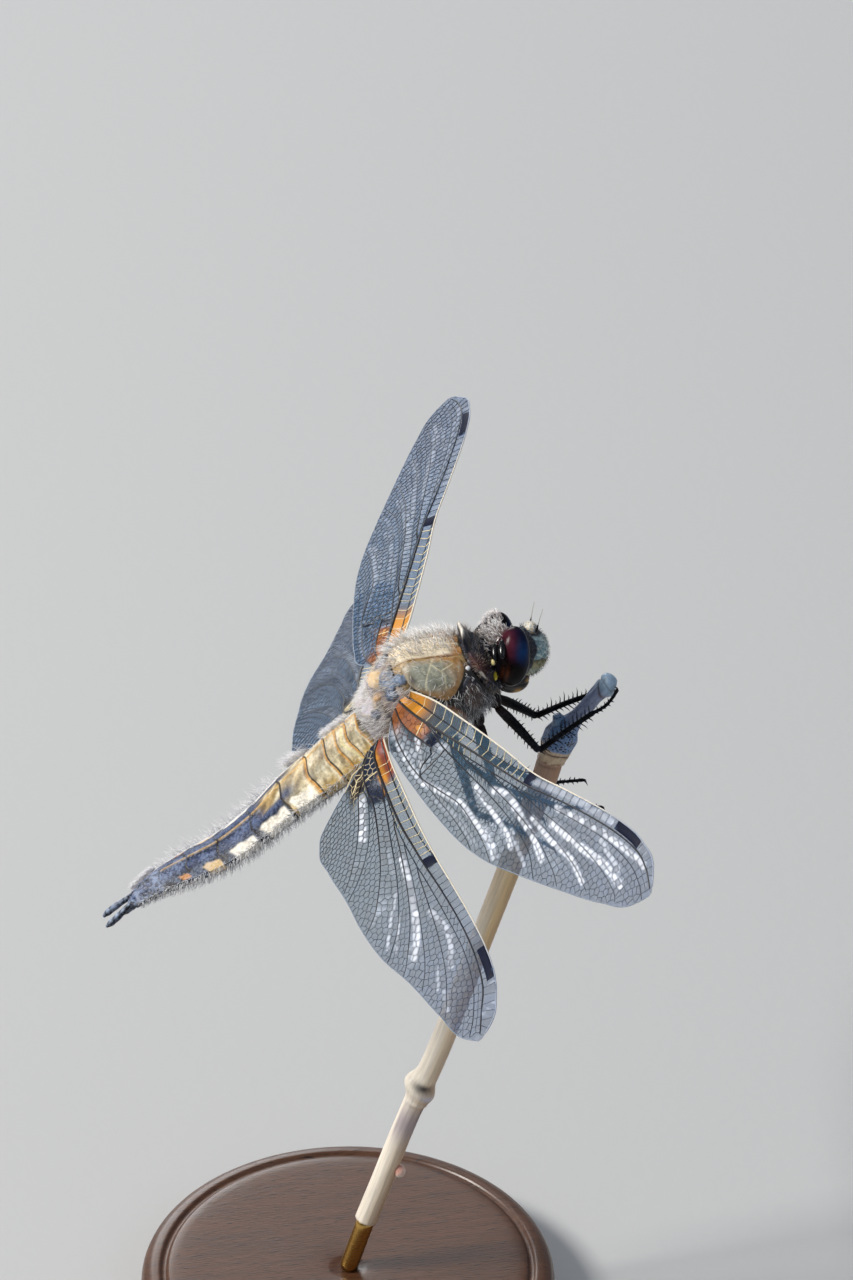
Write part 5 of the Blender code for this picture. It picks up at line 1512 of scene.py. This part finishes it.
def wing_colours(fore, veins, edges, length, x, y, clear, tip, film, amber_end):
    """Tint and cover of the membrane: clear blue-grey, amber or red-brown at the root, and the
    hindwing's black patch."""
    lines = vein_lines(veins, edges, length, x.ravel())[0].reshape(-1, *x.shape)
    radius, cubital, cubital_low = lines[2], lines[-3 if fore else -4], lines[-2 if fore else -3]
    tint = layered(clear, (tip, step(0.3, 0.9, x / length)))
    cover = np.full(x.shape, film)
    front, behind = step(-0.08, 0.08, y - radius), step(-0.08, 0.08, y - cubital)
    if fore:
        patches = (
            (AMBER, 0.95, front * (1 - step(amber_end - 2.6, amber_end, x))),
            (DEEP_AMBER, 0.95, (1 - front) * behind * (1 - step(4.6, 5.3, x))
             * step(-1.5, -1.3, y - radius)),
            (AMBER, 0.98, hump(x, 4.0, 0.5) * hump(y, -1.35, 0.3)),
            (PATCH_BLACK, 0.9, (1 - front) * behind * step(5.1, 5.6, x) * (1 - step(6.1, 6.6, x))
             * step(-2.6, -2.2, y)),
            (DEEP_AMBER, 0.7, (1 - behind) * step(-0.3, 0.0, y - cubital_low) * (1 - step(1.2, 2.6, x))),
        )
    else:
        patches = (
            (RED_AMBER, 0.97, front * (1 - step(3.6, 5.0, x))),
            (AMBER, 0.97, front * hump(y, -1.85, 0.22) * (1 - step(4.2, 5.2, x))),
            (PATCH_BLACK, 0.99, (1 - front) * behind * (1 - step(5.4, 6.0, x))),
            (AMBER, 0.98, hump(y, -2.42, 0.1) * step(3.1, 3.5, x) * (1 - step(5.2, 5.6, x))),
            (PATCH_BROWN, 0.95, (1 - behind) * (1 - step(2.8, 4.2, x + 0.35 * y + 1.8))
             * step(-6.6, -5.4, y)),
            (PATCH_BLACK, 0.97, (1 - behind) * hump(x, 4.9, 0.9) * step(-4.5, -4.2, y)),
        )
    for colour, opaque, share in patches:
        tint, cover = blended(tint, linear(colour), share), cover * (1 - share) + opaque * share
    return tint, cover


# clear chitin: a film that glints cell by cell, and turns opaque amber or black at the root; its
# 'tint' and 'cover' are marks, and a fine noise breaks the gloss. The tint's blue-grey is partly
# painted sky reflection, and its white streaks are painted highlights
membrane, tree, shader = start_material("clear_wing_membrane")
film = add(tree, "Attribute", attribute_name="tint")
film_cover = add(tree, "Attribute", attribute_name="cover")
cell_tone = add(tree, "Attribute", attribute_name="tone")
breath = add(tree, "TexNoise", {"Vector": own_place(tree), "Scale": 900.0, "Detail": 2.0})
breath_gloss = add(tree, "MapRange", {"Value": breath.outputs[0], "To Min": 0.1, "To Max": 0.3})
shade = add(tree, "MapRange", {"Value": cell_tone.outputs["Fac"], "To Min": 0.8, "To Max": 1.25})
plug(tree, shader, {
    "Base Color": add(tree, "VectorMath", {0: film.outputs["Color"], "Scale": shade.outputs[0]},
                      operation="SCALE").outputs[0],
    "Roughness": add(tree, "Math", {0: film_cover.outputs["Fac"], 1: 0.24, 2: breath_gloss.outputs[0]},
                     operation="MULTIPLY_ADD").outputs[0],
    "Specular Tint": linear(SHEEN_BLUE), "Specular IOR Level": 0.4,
    "Alpha": film_cover.outputs["Fac"],
})

# vein chitin: hollow tubes, dark brown to black, pale where they cross the front fields
vein_skin, tree, shader = start_material("wing_vein_chitin")
vein_tint = add(tree, "Attribute", attribute_name="tint")
plug(tree, shader, {"Base Color": vein_tint.outputs["Color"], "Roughness": 0.38, "Coat Weight": 0.3,
                    "Coat Roughness": 0.2})

# wing-spot chitin: the thick blood-filled cell near the tip and the spot at the nodus, deep blue-black
spot_skin, tree, shader = start_material("wing_spot_chitin")
pitting = add(tree, "TexNoise", {"Vector": own_place(tree), "Scale": 3500.0, "Detail": 2.0})
plug(tree, shader, {
    "Base Color": add(tree, "Mix", {0: pitting.outputs[0], 6: linear(STIGMA_BLUE), 7: linear(STIGMA_SPECK)},
                      data_type="RGBA").outputs[2],
    "Roughness": 0.5, "Specular IOR Level": 0.12,
    "Normal": add(tree, "Bump", {"Height": pitting.outputs[0], "Strength": 0.3,
                                 "Distance": 0.00002}).outputs[0],
})

for number, wing in enumerate(WING_SET):
    chance = np.random.default_rng(number + 7)
    fore = "fore" in wing
    length, edges = (FORE_LENGTH, FORE_EDGES) if fore else (HIND_LENGTH, HIND_EDGES)
    veins, antenodals = (FORE_VEINS, FORE_ANTENODALS) if fore else (HIND_VEINS, HIND_ANTENODALS)
    nodus, stigma, knot = FORE_SPOTS if fore else HIND_SPOTS

    def surface(x, y):
        """Lift of this wing's membrane at places along and across it."""
        return fold_height(veins, edges, length, np.asarray(x, float), np.asarray(y, float))

    # fields between neighbouring long veins, each filled with its own cells
    run = np.linspace(0.3, length - 0.12, 900)
    lines = vein_lines(veins, edges, length, run)[0]
    seeds, starts, ends, pale = [], [], [], []
    for field in range(len(lines) - 1):
        high, low = lines[field], lines[field + 1]
        open_here = high - low > 0.16
        if field < 2:
            places = np.array(antenodals)
            starts.append(np.stack([places, np.interp(places, run, high)], axis=1))
            ends.append(np.stack([places + 0.05, np.interp(places, run, low)], axis=1))
            pale.append(np.ones(len(places)))
            middle = (places[1:] + places[:-1]) / 2
            seeds.append(np.stack([middle, np.interp(middle, run, (high + low) / 2)], axis=1))
            open_here &= run > nodus
        turns_on = np.flatnonzero(np.diff(np.concatenate([[0], open_here.astype(int), [0]])))
        for begin, finish in turns_on.reshape(-1, 2):
            if run[finish - 1] - run[begin] < 0.9:
                continue
            part = slice(begin, finish)
            narrow = np.mean(high[part] - low[part]) < 0.9
            made = net(np.stack([run[part], high[part]], axis=1), np.stack([run[part], low[part]], axis=1),
                       0.78 if narrow or field < 2 else CELL, 3.0 if field < 2 else CELL * 0.92, chance)
            seeds.append(made[0])
            starts.append(made[1])
            ends.append(made[2])
            pale.append(0.8 * (field == 2) * step(11.5, 9.5, made[1][:, 0]))
    seeds, starts, ends, pale = (np.concatenate(group) for group in (seeds, starts, ends, pale))

    # membrane: a grid along and across the wing, lifted by the folds, then each cell domed by its
    # distance to the second nearest seed less that to the nearest, and tilted a little
    u = np.linspace(0.004, 0.998, 300)[:, None] * length
    v = np.linspace(0, 1, 74)[None]
    high, low = edge_line(edges[0], u / length), edge_line(edges[1], u / length)
    x, y = u + 0 * v, high * (1 - v) + low * v
    spots = np.stack([x.ravel(), y.ravel()], axis=1)
    near, gap = [], []
    for block in np.array_split(spots, 8):
        reach = np.linalg.norm(block[:, None] - seeds[None], axis=2)
        order = np.argpartition(reach, 1, axis=1)[:, :2]
        both = np.take_along_axis(reach, order, 1)
        near.append(order[np.arange(len(block)), both.argmin(1)])
        gap.append(np.abs(both[:, 1] - both[:, 0]))
    near, gap = np.concatenate(near), np.concatenate(gap)
    inner = 1 - np.exp(-((gap / 0.24) ** 2))
    tilt = chance.normal(0, CELL_TILT, (len(seeds), 2))
    bulge = chance.choice([-1.0, 1.0], len(seeds)) * CELL_BULGE
    dome = inner * (bulge[near] + ((spots - seeds[near]) * tilt[near]).sum(1))
    tint, cover = wing_colours(
        fore, veins, edges, length, x, y, *FILM_AND_SKY_REFLECTION["right" if "right" in wing else "left"])
    lift = surface(x, y) + dome.reshape(x.shape) * (1 - 0.85 * step(0.4, 0.9, cover))
    tone = chance.uniform(0, 1, len(seeds))[near]
    # painted highlights: the cells of a few long folds are whitened and made more opaque, cell by cell
    flat = np.stack([x, y], axis=-1)
    shine = np.zeros(x.shape)
    for line, width, strength in (FORE_PAINTED_HIGHLIGHTS if fore else HIND_PAINTED_HIGHLIGHTS):
        along = line_distance(flat, smooth_path(line, 24))
        shine = np.maximum(shine, strength * (1 - step(width * 0.5, width * 1.5, along)))
    shine = np.minimum(shine * (1.35 if "right" in wing else 0.3), 1)
    shine *= (0.45 + 0.55 * step(0.05, 0.35, tone.reshape(x.shape))) * (1 - step(0.6, 0.75, cover))
    shine *= 0.65 + 0.35 * step(0.15, 0.75, inner.reshape(x.shape))
    tint, cover = blended(tint, linear(PAINTED_HIGHLIGHT_WHITE), shine), cover * (1 - shine) + 0.8 * shine
    half = MEMBRANE_THICKNESS / 2
    points, faces = shell(to_world(wing, x, y, lift + half), to_world(wing, x, y, lift - half))
    make_piece(wing + "_membrane", points, faces, membrane, "wing_membrane", [wing], {
        "tint": np.tile(tint.reshape(-1, 4), (2, 1)), "cover": np.tile(cover.ravel(), 2),
        "tone": np.tile(tone, 2)})

    # cross veins: cream in the front fields before the nodus and over the hindwing's root patch,
    # brown in the amber, dark elsewhere
    slim = 0.026 if "right" in wing else 0.036
    radii = np.where(pale > 0.4, 0.052, slim + 0.012 * (1 - step(0.1, 0.5, starts[:, 0] / length)))
    points, faces = struts(wing, surface, starts, ends, radii)
    near, across = starts.T
    strut_tint = layered(CROSS_GREY, (VEIN_BROWN, step(5.6, 5.0, near) * step(-2.9, -2.5, across)))
    if not fore:
        pale = np.maximum(pale, 0.9 * step(4.4, 3.2, near + 0.35 * across + 1.8) * step(-6.4, -5.4, across))
    strut_tint = layered(strut_tint, (VEIN_PALE, pale))
    make_piece(wing + "_cross_veins", points, [faces], vein_skin, "wing_membrane", (), {
        "tint": np.repeat(strut_tint, 12, axis=0)})

    # long veins and the rim: tubes along their lines, joined in one mesh
    tubes = [(smooth_path(points, 170), root, tip, VEIN_DARK, VEIN_DARK)
             for points, _, root, tip in veins.values()]
    rim = np.linspace(0.012, 0.992, 240) * length
    front_rim, hind_rim = (np.stack([rim, edge_line(edge, rim / length)], axis=1) for edge in edges)
    tubes.append((front_rim, 0.085, 0.06, COSTA_CREAM, COSTA_GREY))
    tubes.append((hind_rim, 0.05, 0.04, RIM_PALE, RIM_PALE))
    bars = [np.array(bar) for bar in (FORE_BARS if fore else HIND_BARS)]
    tubes.append((bars[0], 0.07, 0.06, VEIN_DARK, VEIN_DARK))
    tubes += [(bar, 0.06, 0.06, VEIN_PALE, VEIN_PALE) for bar in bars[1:]]
    parts, tints = [], []
    for line, root, tip, start_colour, end_colour in tubes:
        line = even(line, 0.22)
        share = np.linspace(0, 1, len(line))
        centre = to_world(wing, line[:, 0], line[:, 1], surface(line[:, 0], line[:, 1]))
        radii = root + (tip - root) * step(0, 0.75, share)
        radii[[0, -1]] *= 0.5
        parts.append(closed_rings(swept(centre, radii, 7, 1.0, (0.0, 0.0, 1.0))))
        coloured = layered(start_colour, (end_colour, step(0.62, 0.85, share)))
        tints.append(with_poles(np.repeat(coloured[:, None], 7, axis=1)))
    make_piece(wing + "_long_veins", *joined(parts), vein_skin, "wing_membrane", (),
               {"tint": np.concatenate(tints)})

    # wing spots: pillows of thick chitin between the front edge and the radius
    for kind, (begin, finish), thick in (("stigma", stigma, 0.10), ("nodus_spot", knot, 0.07)):
        x = np.linspace(begin, finish, 40)
        lines = vein_lines(veins, edges, length, x)[0]
        low = np.maximum(lines[2], lines[0] - 0.85) if kind == "stigma" else lines[2]
        top, bottom = blister(wing, surface, x, lines[0] - 0.02, low + 0.02, thick)
        points, faces = shell(top, bottom)
        make_piece(f"{wing}_{kind}", points, faces, spot_skin, "wing_membrane")

# Coat. Long soft white hair stands on the thorax, the back of the head and the edges of the
# abdomen, greyer and shorter fuzz fills the deck between the wings, and short black bristles
# cover the face. Each hair is a bent three-sided spike that leans with the lie of the coat.
HAIR_WHITE, HAIR_GREY, HAIR_WARM = "#F3F1EC", "#A7A9B0", "#D9B98C"
HAIR_LILAC, HAIR_BLACK = "#D8CFE0", "#17151A"
HAIR_PURE, HAIR_DARK, HAIR_CREAM, HAIR_SLATE = "#FFFFFF", "#1C1612", "#FFF6EC", "#9CA2B0"
HAIR_PINK, BRISTLE_BROWN, FRINGE_LILAC, FRINGE_GREY = "#E8C4B0", "#5C574B", "#C4C2D2", "#8A8790"
PATCH_SIZE = 0.003
MID_BEND = 0.16


def hairs(roots, normals, lie, lengths, radius, lean, chance):
    """Points and faces of many hairs. Each rises from its root along normal * cos(lean) + lie *
    sin(lean), with a random stray, and its tip bends further towards the lie. Seven points each."""
    count = len(roots)
    lie = lie - normals * (lie * normals).sum(1, keepdims=True)
    lie /= np.maximum(np.linalg.norm(lie, axis=1, keepdims=True), 1e-6)
    lean = (lean + chance.normal(0, 0.24, count))[:, None]
    stray = np.cross(normals, lie) * chance.normal(0, 0.38, (count, 1))
    way = normals * np.cos(lean) + lie * np.sin(lean) + stray
    way /= np.linalg.norm(way, axis=1, keepdims=True)
    across = np.cross(way, normals + 0.3 * lie)
    across /= np.maximum(np.linalg.norm(across, axis=1, keepdims=True), 1e-6)
    over = np.cross(across, way)
    lengths = lengths[:, None]
    angles = np.array([0, 2, 4]) * np.pi / 3
    ring = across[:, None] * np.cos(angles)[:, None] + over[:, None] * np.sin(angles)[:, None]
    base = roots - normals * 0.05
    middle = roots + way * lengths * 0.55
    tip = roots + way * lengths + lie * lengths * MID_BEND - normals * lengths * 0.05
    points = np.concatenate(
        [base[:, None] + ring * radius, middle[:, None] + ring * radius * 0.7, tip[:, None]], axis=1)
    four = np.array([[0, 1, 4, 3], [1, 2, 5, 4], [2, 0, 3, 5]])
    three = np.array([[3, 4, 6], [4, 5, 6], [5, 3, 6], [0, 2, 1]])
    start = (np.arange(count) * 7)[:, None, None]
    return points.reshape(-1, 3), [(four + start).reshape(-1, 4), (three + start).reshape(-1, 3)]


def patches(u, v):
    """UV places of the hairs' points: a small patch around each root's place on the skin's unwrap."""
    spread = np.array(
        [(-1, -1), (1, -1), (0, -0.6), (-0.7, 0.3), (0.7, 0.3), (0, 0.5), (0, 1)]) * PATCH_SIZE / 2
    middle = np.stack([u, v], axis=1) * (1 - 2 * PATCH_SIZE) + PATCH_SIZE
    return (middle[:, None] + spread[None]).reshape(-1, 2)


def coat(name, place, at, turn, lie, lengths, radius, lean, colours, world, limits, slot, chance):
    """One coat piece over the surface place(at, turn): roots and normals there, in body or head
    axes, then moved to the world. Colours are one for each hair."""
    roots = place(at, turn)
    normals = outward(place, at, turn)
    centre = roots.mean(axis=0)
    normals *= np.sign((normals * (roots - centre)).sum(1, keepdims=True))
    points, faces = hairs(roots, normals, np.broadcast_to(lie, roots.shape), lengths, radius, lean, chance)
    (low, high), (first, last) = limits
    make_piece(name, world(points), faces, hair_skin, slot, (), {"tint": np.repeat(colours, 7, axis=0)},
               patches((at - low) / (high - low), (turn - first) / (last - first)))


# hair: solid, slightly shiny shafts, whose colour is a mark
hair_skin, tree, shader = start_material("insect_hair")
hair_tint = add(tree, "Attribute", attribute_name="tint")
shaft_noise = add(tree, "TexNoise", {"Vector": own_place(tree), "Scale": 2500.0})
shaft_tone = add(tree, "MapRange", {"Value": shaft_noise.outputs[0], "To Min": 0.75, "To Max": 1.25})
plug(tree, shader, {
    "Base Color": add(tree, "VectorMath", {0: hair_tint.outputs["Color"], "Scale": shaft_tone.outputs[0]},
                      operation="SCALE").outputs[0],
    "Roughness": 0.45, "Sheen Weight": 0.35, "Sheen Roughness": 0.4,
})

chance = np.random.default_rng(4)


def mixed(count, first, second, share, scatter=0.25):
    """A colour for each hair, some way between two, scattered about a share."""
    return blended(linear(first), linear(second), share + chance.normal(0, scatter, count))


# along and round each skin, for the unwrap
THORAX_SPAN = ((-5.2, 5.1), (0.0, 2 * np.pi))
HEAD_SPAN = ((0.0, np.pi), (0.0, 2 * np.pi))
BELLY_SPAN = ((-30.8, -5.5), (-np.pi, np.pi))
# front of the thorax: thin on the plates, thicker over the crest, leaning back
count = 2000
at, turn = chance.uniform(-0.4, 5.0, count), np.radians(chance.uniform(5, 172, count))
thin = np.where(np.degrees(turn) > 102, 0.13, np.where(np.degrees(turn) < 50, 0.4, 0.9))
keep = chance.uniform(0, 1, count) < np.where(at < 0.3, 0.6, thin)
at, turn = at[keep], turn[keep]
coat("thorax_crest_hair", wall, at, turn, (-1.0, 0.0, 0.15), chance.uniform(0.7, 1.6, len(at)), 0.027, 0.36,
     mixed(len(at), HAIR_PURE, HAIR_WARM, 0.0), body_to_world, THORAX_SPAN, "thorax_shell", chance)
# sides and underside: grey-white over the dark wall
count = 2300
at = chance.uniform(-2.0, 5.0, count)
turn = np.radians(np.where(chance.uniform(0, 1, count) < 0.5, chance.uniform(168, 262, count),
                           chance.uniform(-82, 12, count)) % 360)
keep = ~((at < 0.4) & (np.abs(np.cos(turn)) > 0.75) & (chance.uniform(0, 1, count) < 0.8))
at, turn = at[keep], turn[keep]
coat("thorax_side_hair", wall, at, turn, (-0.8, 0.0, -0.6), chance.uniform(0.35, 1.05, len(at)), 0.024,
     0.55, mixed(len(at), HAIR_PURE, HAIR_DARK, 0.55, 0.5), body_to_world, THORAX_SPAN,
     "thorax_shell", chance)
# deck between the wings and hind slope: short lilac-white fuzz lying every way
count = 3200
at, turn = chance.uniform(-5.15, -0.3, count), np.radians(np.clip(chance.normal(90, 42, count), 10, 170))
keep = (at < -2.6) | (chance.uniform(0, 1, count) < 0.45)
at, turn = at[keep], turn[keep]
whiten = step(-2.2, -3.6, at)
coat("deck_fuzz", wall, at, turn, (-0.9, 0.1, 0.1), chance.uniform(0.3, 0.9, len(at)), 0.021, 0.6,
     blended(mixed(len(at), HAIR_CREAM, HAIR_WARM, 0.2), linear(HAIR_PURE), 0.9 * whiten),
     body_to_world, THORAX_SPAN, "thorax_shell", chance)


def collar_wall(x, turn):
    """The collar's surface in body axes."""
    return trunk(COLLAR, 3.0, x, turn)


count = 650
at, turn = chance.uniform(5.25, 6.7, count), chance.uniform(0, 2 * np.pi, count)
coat("collar_hair", collar_wall, at, turn, (-0.6, 0.0, 0.4), chance.uniform(0.3, 0.8, count), 0.013, 0.5,
     mixed(count, HAIR_WARM, HAIR_GREY, 0.6), body_to_world, ((5.2, 6.9), (0.0, 2 * np.pi)), "black_shell",
     chance)


def capsule_wall(at, turn):
    """The head capsule in head axes: at is the angle down from its top, turn the angle round it."""
    return ball(at, turn) * np.array(CAPSULE_SIZES) + CAPSULE_AT


def face_wall(at, turn):
    """The face in head axes: at is the angle from straight ahead, turn the angle round that."""
    return leaned(ball(at, turn)[..., [2, 0, 1]] * FACE_SIZES, FACE_LEAN) + FACE_AT


def left_eye_wall(at, turn):
    """The left eye's dome in head axes: at is the angle down from its top, turn the angle round it."""
    return leaned(ball(at, turn) * EYE_SIZES * 0.985, EYE_LEAN) + EYE_AT


# back of the head: radiating hair between and behind the eyes, which hides the left eye's back
count = 760
at, turn = chance.uniform(0.05, 2.5, count), chance.normal(np.pi, 0.95, count)
aside = np.abs(np.sin(at) * np.sin(turn))
keep = (aside < np.where(at > 1.02, 0.42, 0.68)) & (turn > 0) & (turn < 2 * np.pi)
at, turn = at[keep], turn[keep]
coat("occiput_hair", capsule_wall, at, turn, (-0.6, 0.0, 0.5), chance.uniform(0.35, 0.85, len(at)), 0.030,
     0.15, blended(mixed(len(at), HAIR_PURE, HAIR_SLATE, 0.0, 0.35), linear(HAIR_PINK),
             0.4 * (chance.uniform(0, 1, len(at)) < 0.3)),
     head_to_world, HEAD_SPAN, "black_shell", chance)
count = 950
at, turn = chance.uniform(0.05, 2.4, count), chance.uniform(1.9, 4.6, count)
keep = np.sin(at) * np.cos(turn) <= -0.05
at, turn = at[keep], turn[keep]
coat("left_temple_hair", left_eye_wall, at, turn, (-0.6, 0.2, 0.6), chance.uniform(0.3, 0.65, len(at)),
     0.028, 0.15, blended(mixed(len(at), HAIR_PURE, HAIR_SLATE, 0.0, 0.35), linear(HAIR_PINK),
             0.4 * (chance.uniform(0, 1, len(at)) < 0.4)),
     head_to_world, HEAD_SPAN, "black_shell", chance)
# face: short stiff black bristles, thickest round its outline
count = 1300
at, turn = np.arccos(chance.uniform(-0.25, 0.98, count)), chance.uniform(0, 2 * np.pi, count)
coat("face_bristles", face_wall, at, turn, (0.1, 0.0, -0.8), chance.uniform(0.14, 0.42, count), 0.012, 0.5,
     mixed(count, HAIR_BLACK, BRISTLE_BROWN, 0.15), head_to_world, HEAD_SPAN, "face_shell", chance)

# abdomen: a thick white fringe along both edges, longer on the left, and a thin short coat on top
for side, side_name, count, long_ in ((1, "left", 5600, 1.6), (-1, "right", 2000, 0.95)):
    at = -5.6 - 24.8 * chance.uniform(0, 1, count) ** 0.95
    ridge = np.interp(at, (-16, -13, -10, -8, -6), (1.38, 1.0, 0.6, 0.45, 0.3)) if side > 0 else (
        np.where(chance.uniform(0, 1, count) < 0.65, 1.62, 2.2))
    turn = side * (ridge + chance.normal(0, 0.2, count))
    rear = step(-9.0, -14.0, at)
    lengths = long_ * chance.uniform(0.3, 1.05, count) * (0.55 + 0.45 * rear)
    lengths = lengths * (1 - 0.5 * step(-25.0, -29.0, at))
    second, share = (FRINGE_LILAC, 0.2) if side > 0 else (FRINGE_GREY, 0.15)
    coat(f"abdomen_fringe_{side_name}", section, at, turn, (-0.8, 0.0, 0.5 if side > 0 else -0.5), lengths,
         0.025, 0.45, mixed(count, HAIR_PURE, second, share, 0.35), body_to_world, BELLY_SPAN,
         "abdomen_shell", chance)
count = 3000
at, turn = -5.6 - 24.8 * chance.uniform(0, 1, count), chance.uniform(-1.1, 1.1, count)
keep = chance.uniform(0, 1, count) < 0.12 + 0.75 * np.maximum(step(-8.0, -5.8, at), step(-24.0, -28.0, at))
at, turn = at[keep], turn[keep]
coat("abdomen_down", section, at, turn, (-1.0, 0.0, 0.0), chance.uniform(0.15, 0.4, len(at)), 0.011, 1.0,
     mixed(len(at), HAIR_WHITE, HAIR_LILAC, 0.5), body_to_world, BELLY_SPAN, "abdomen_shell", chance)
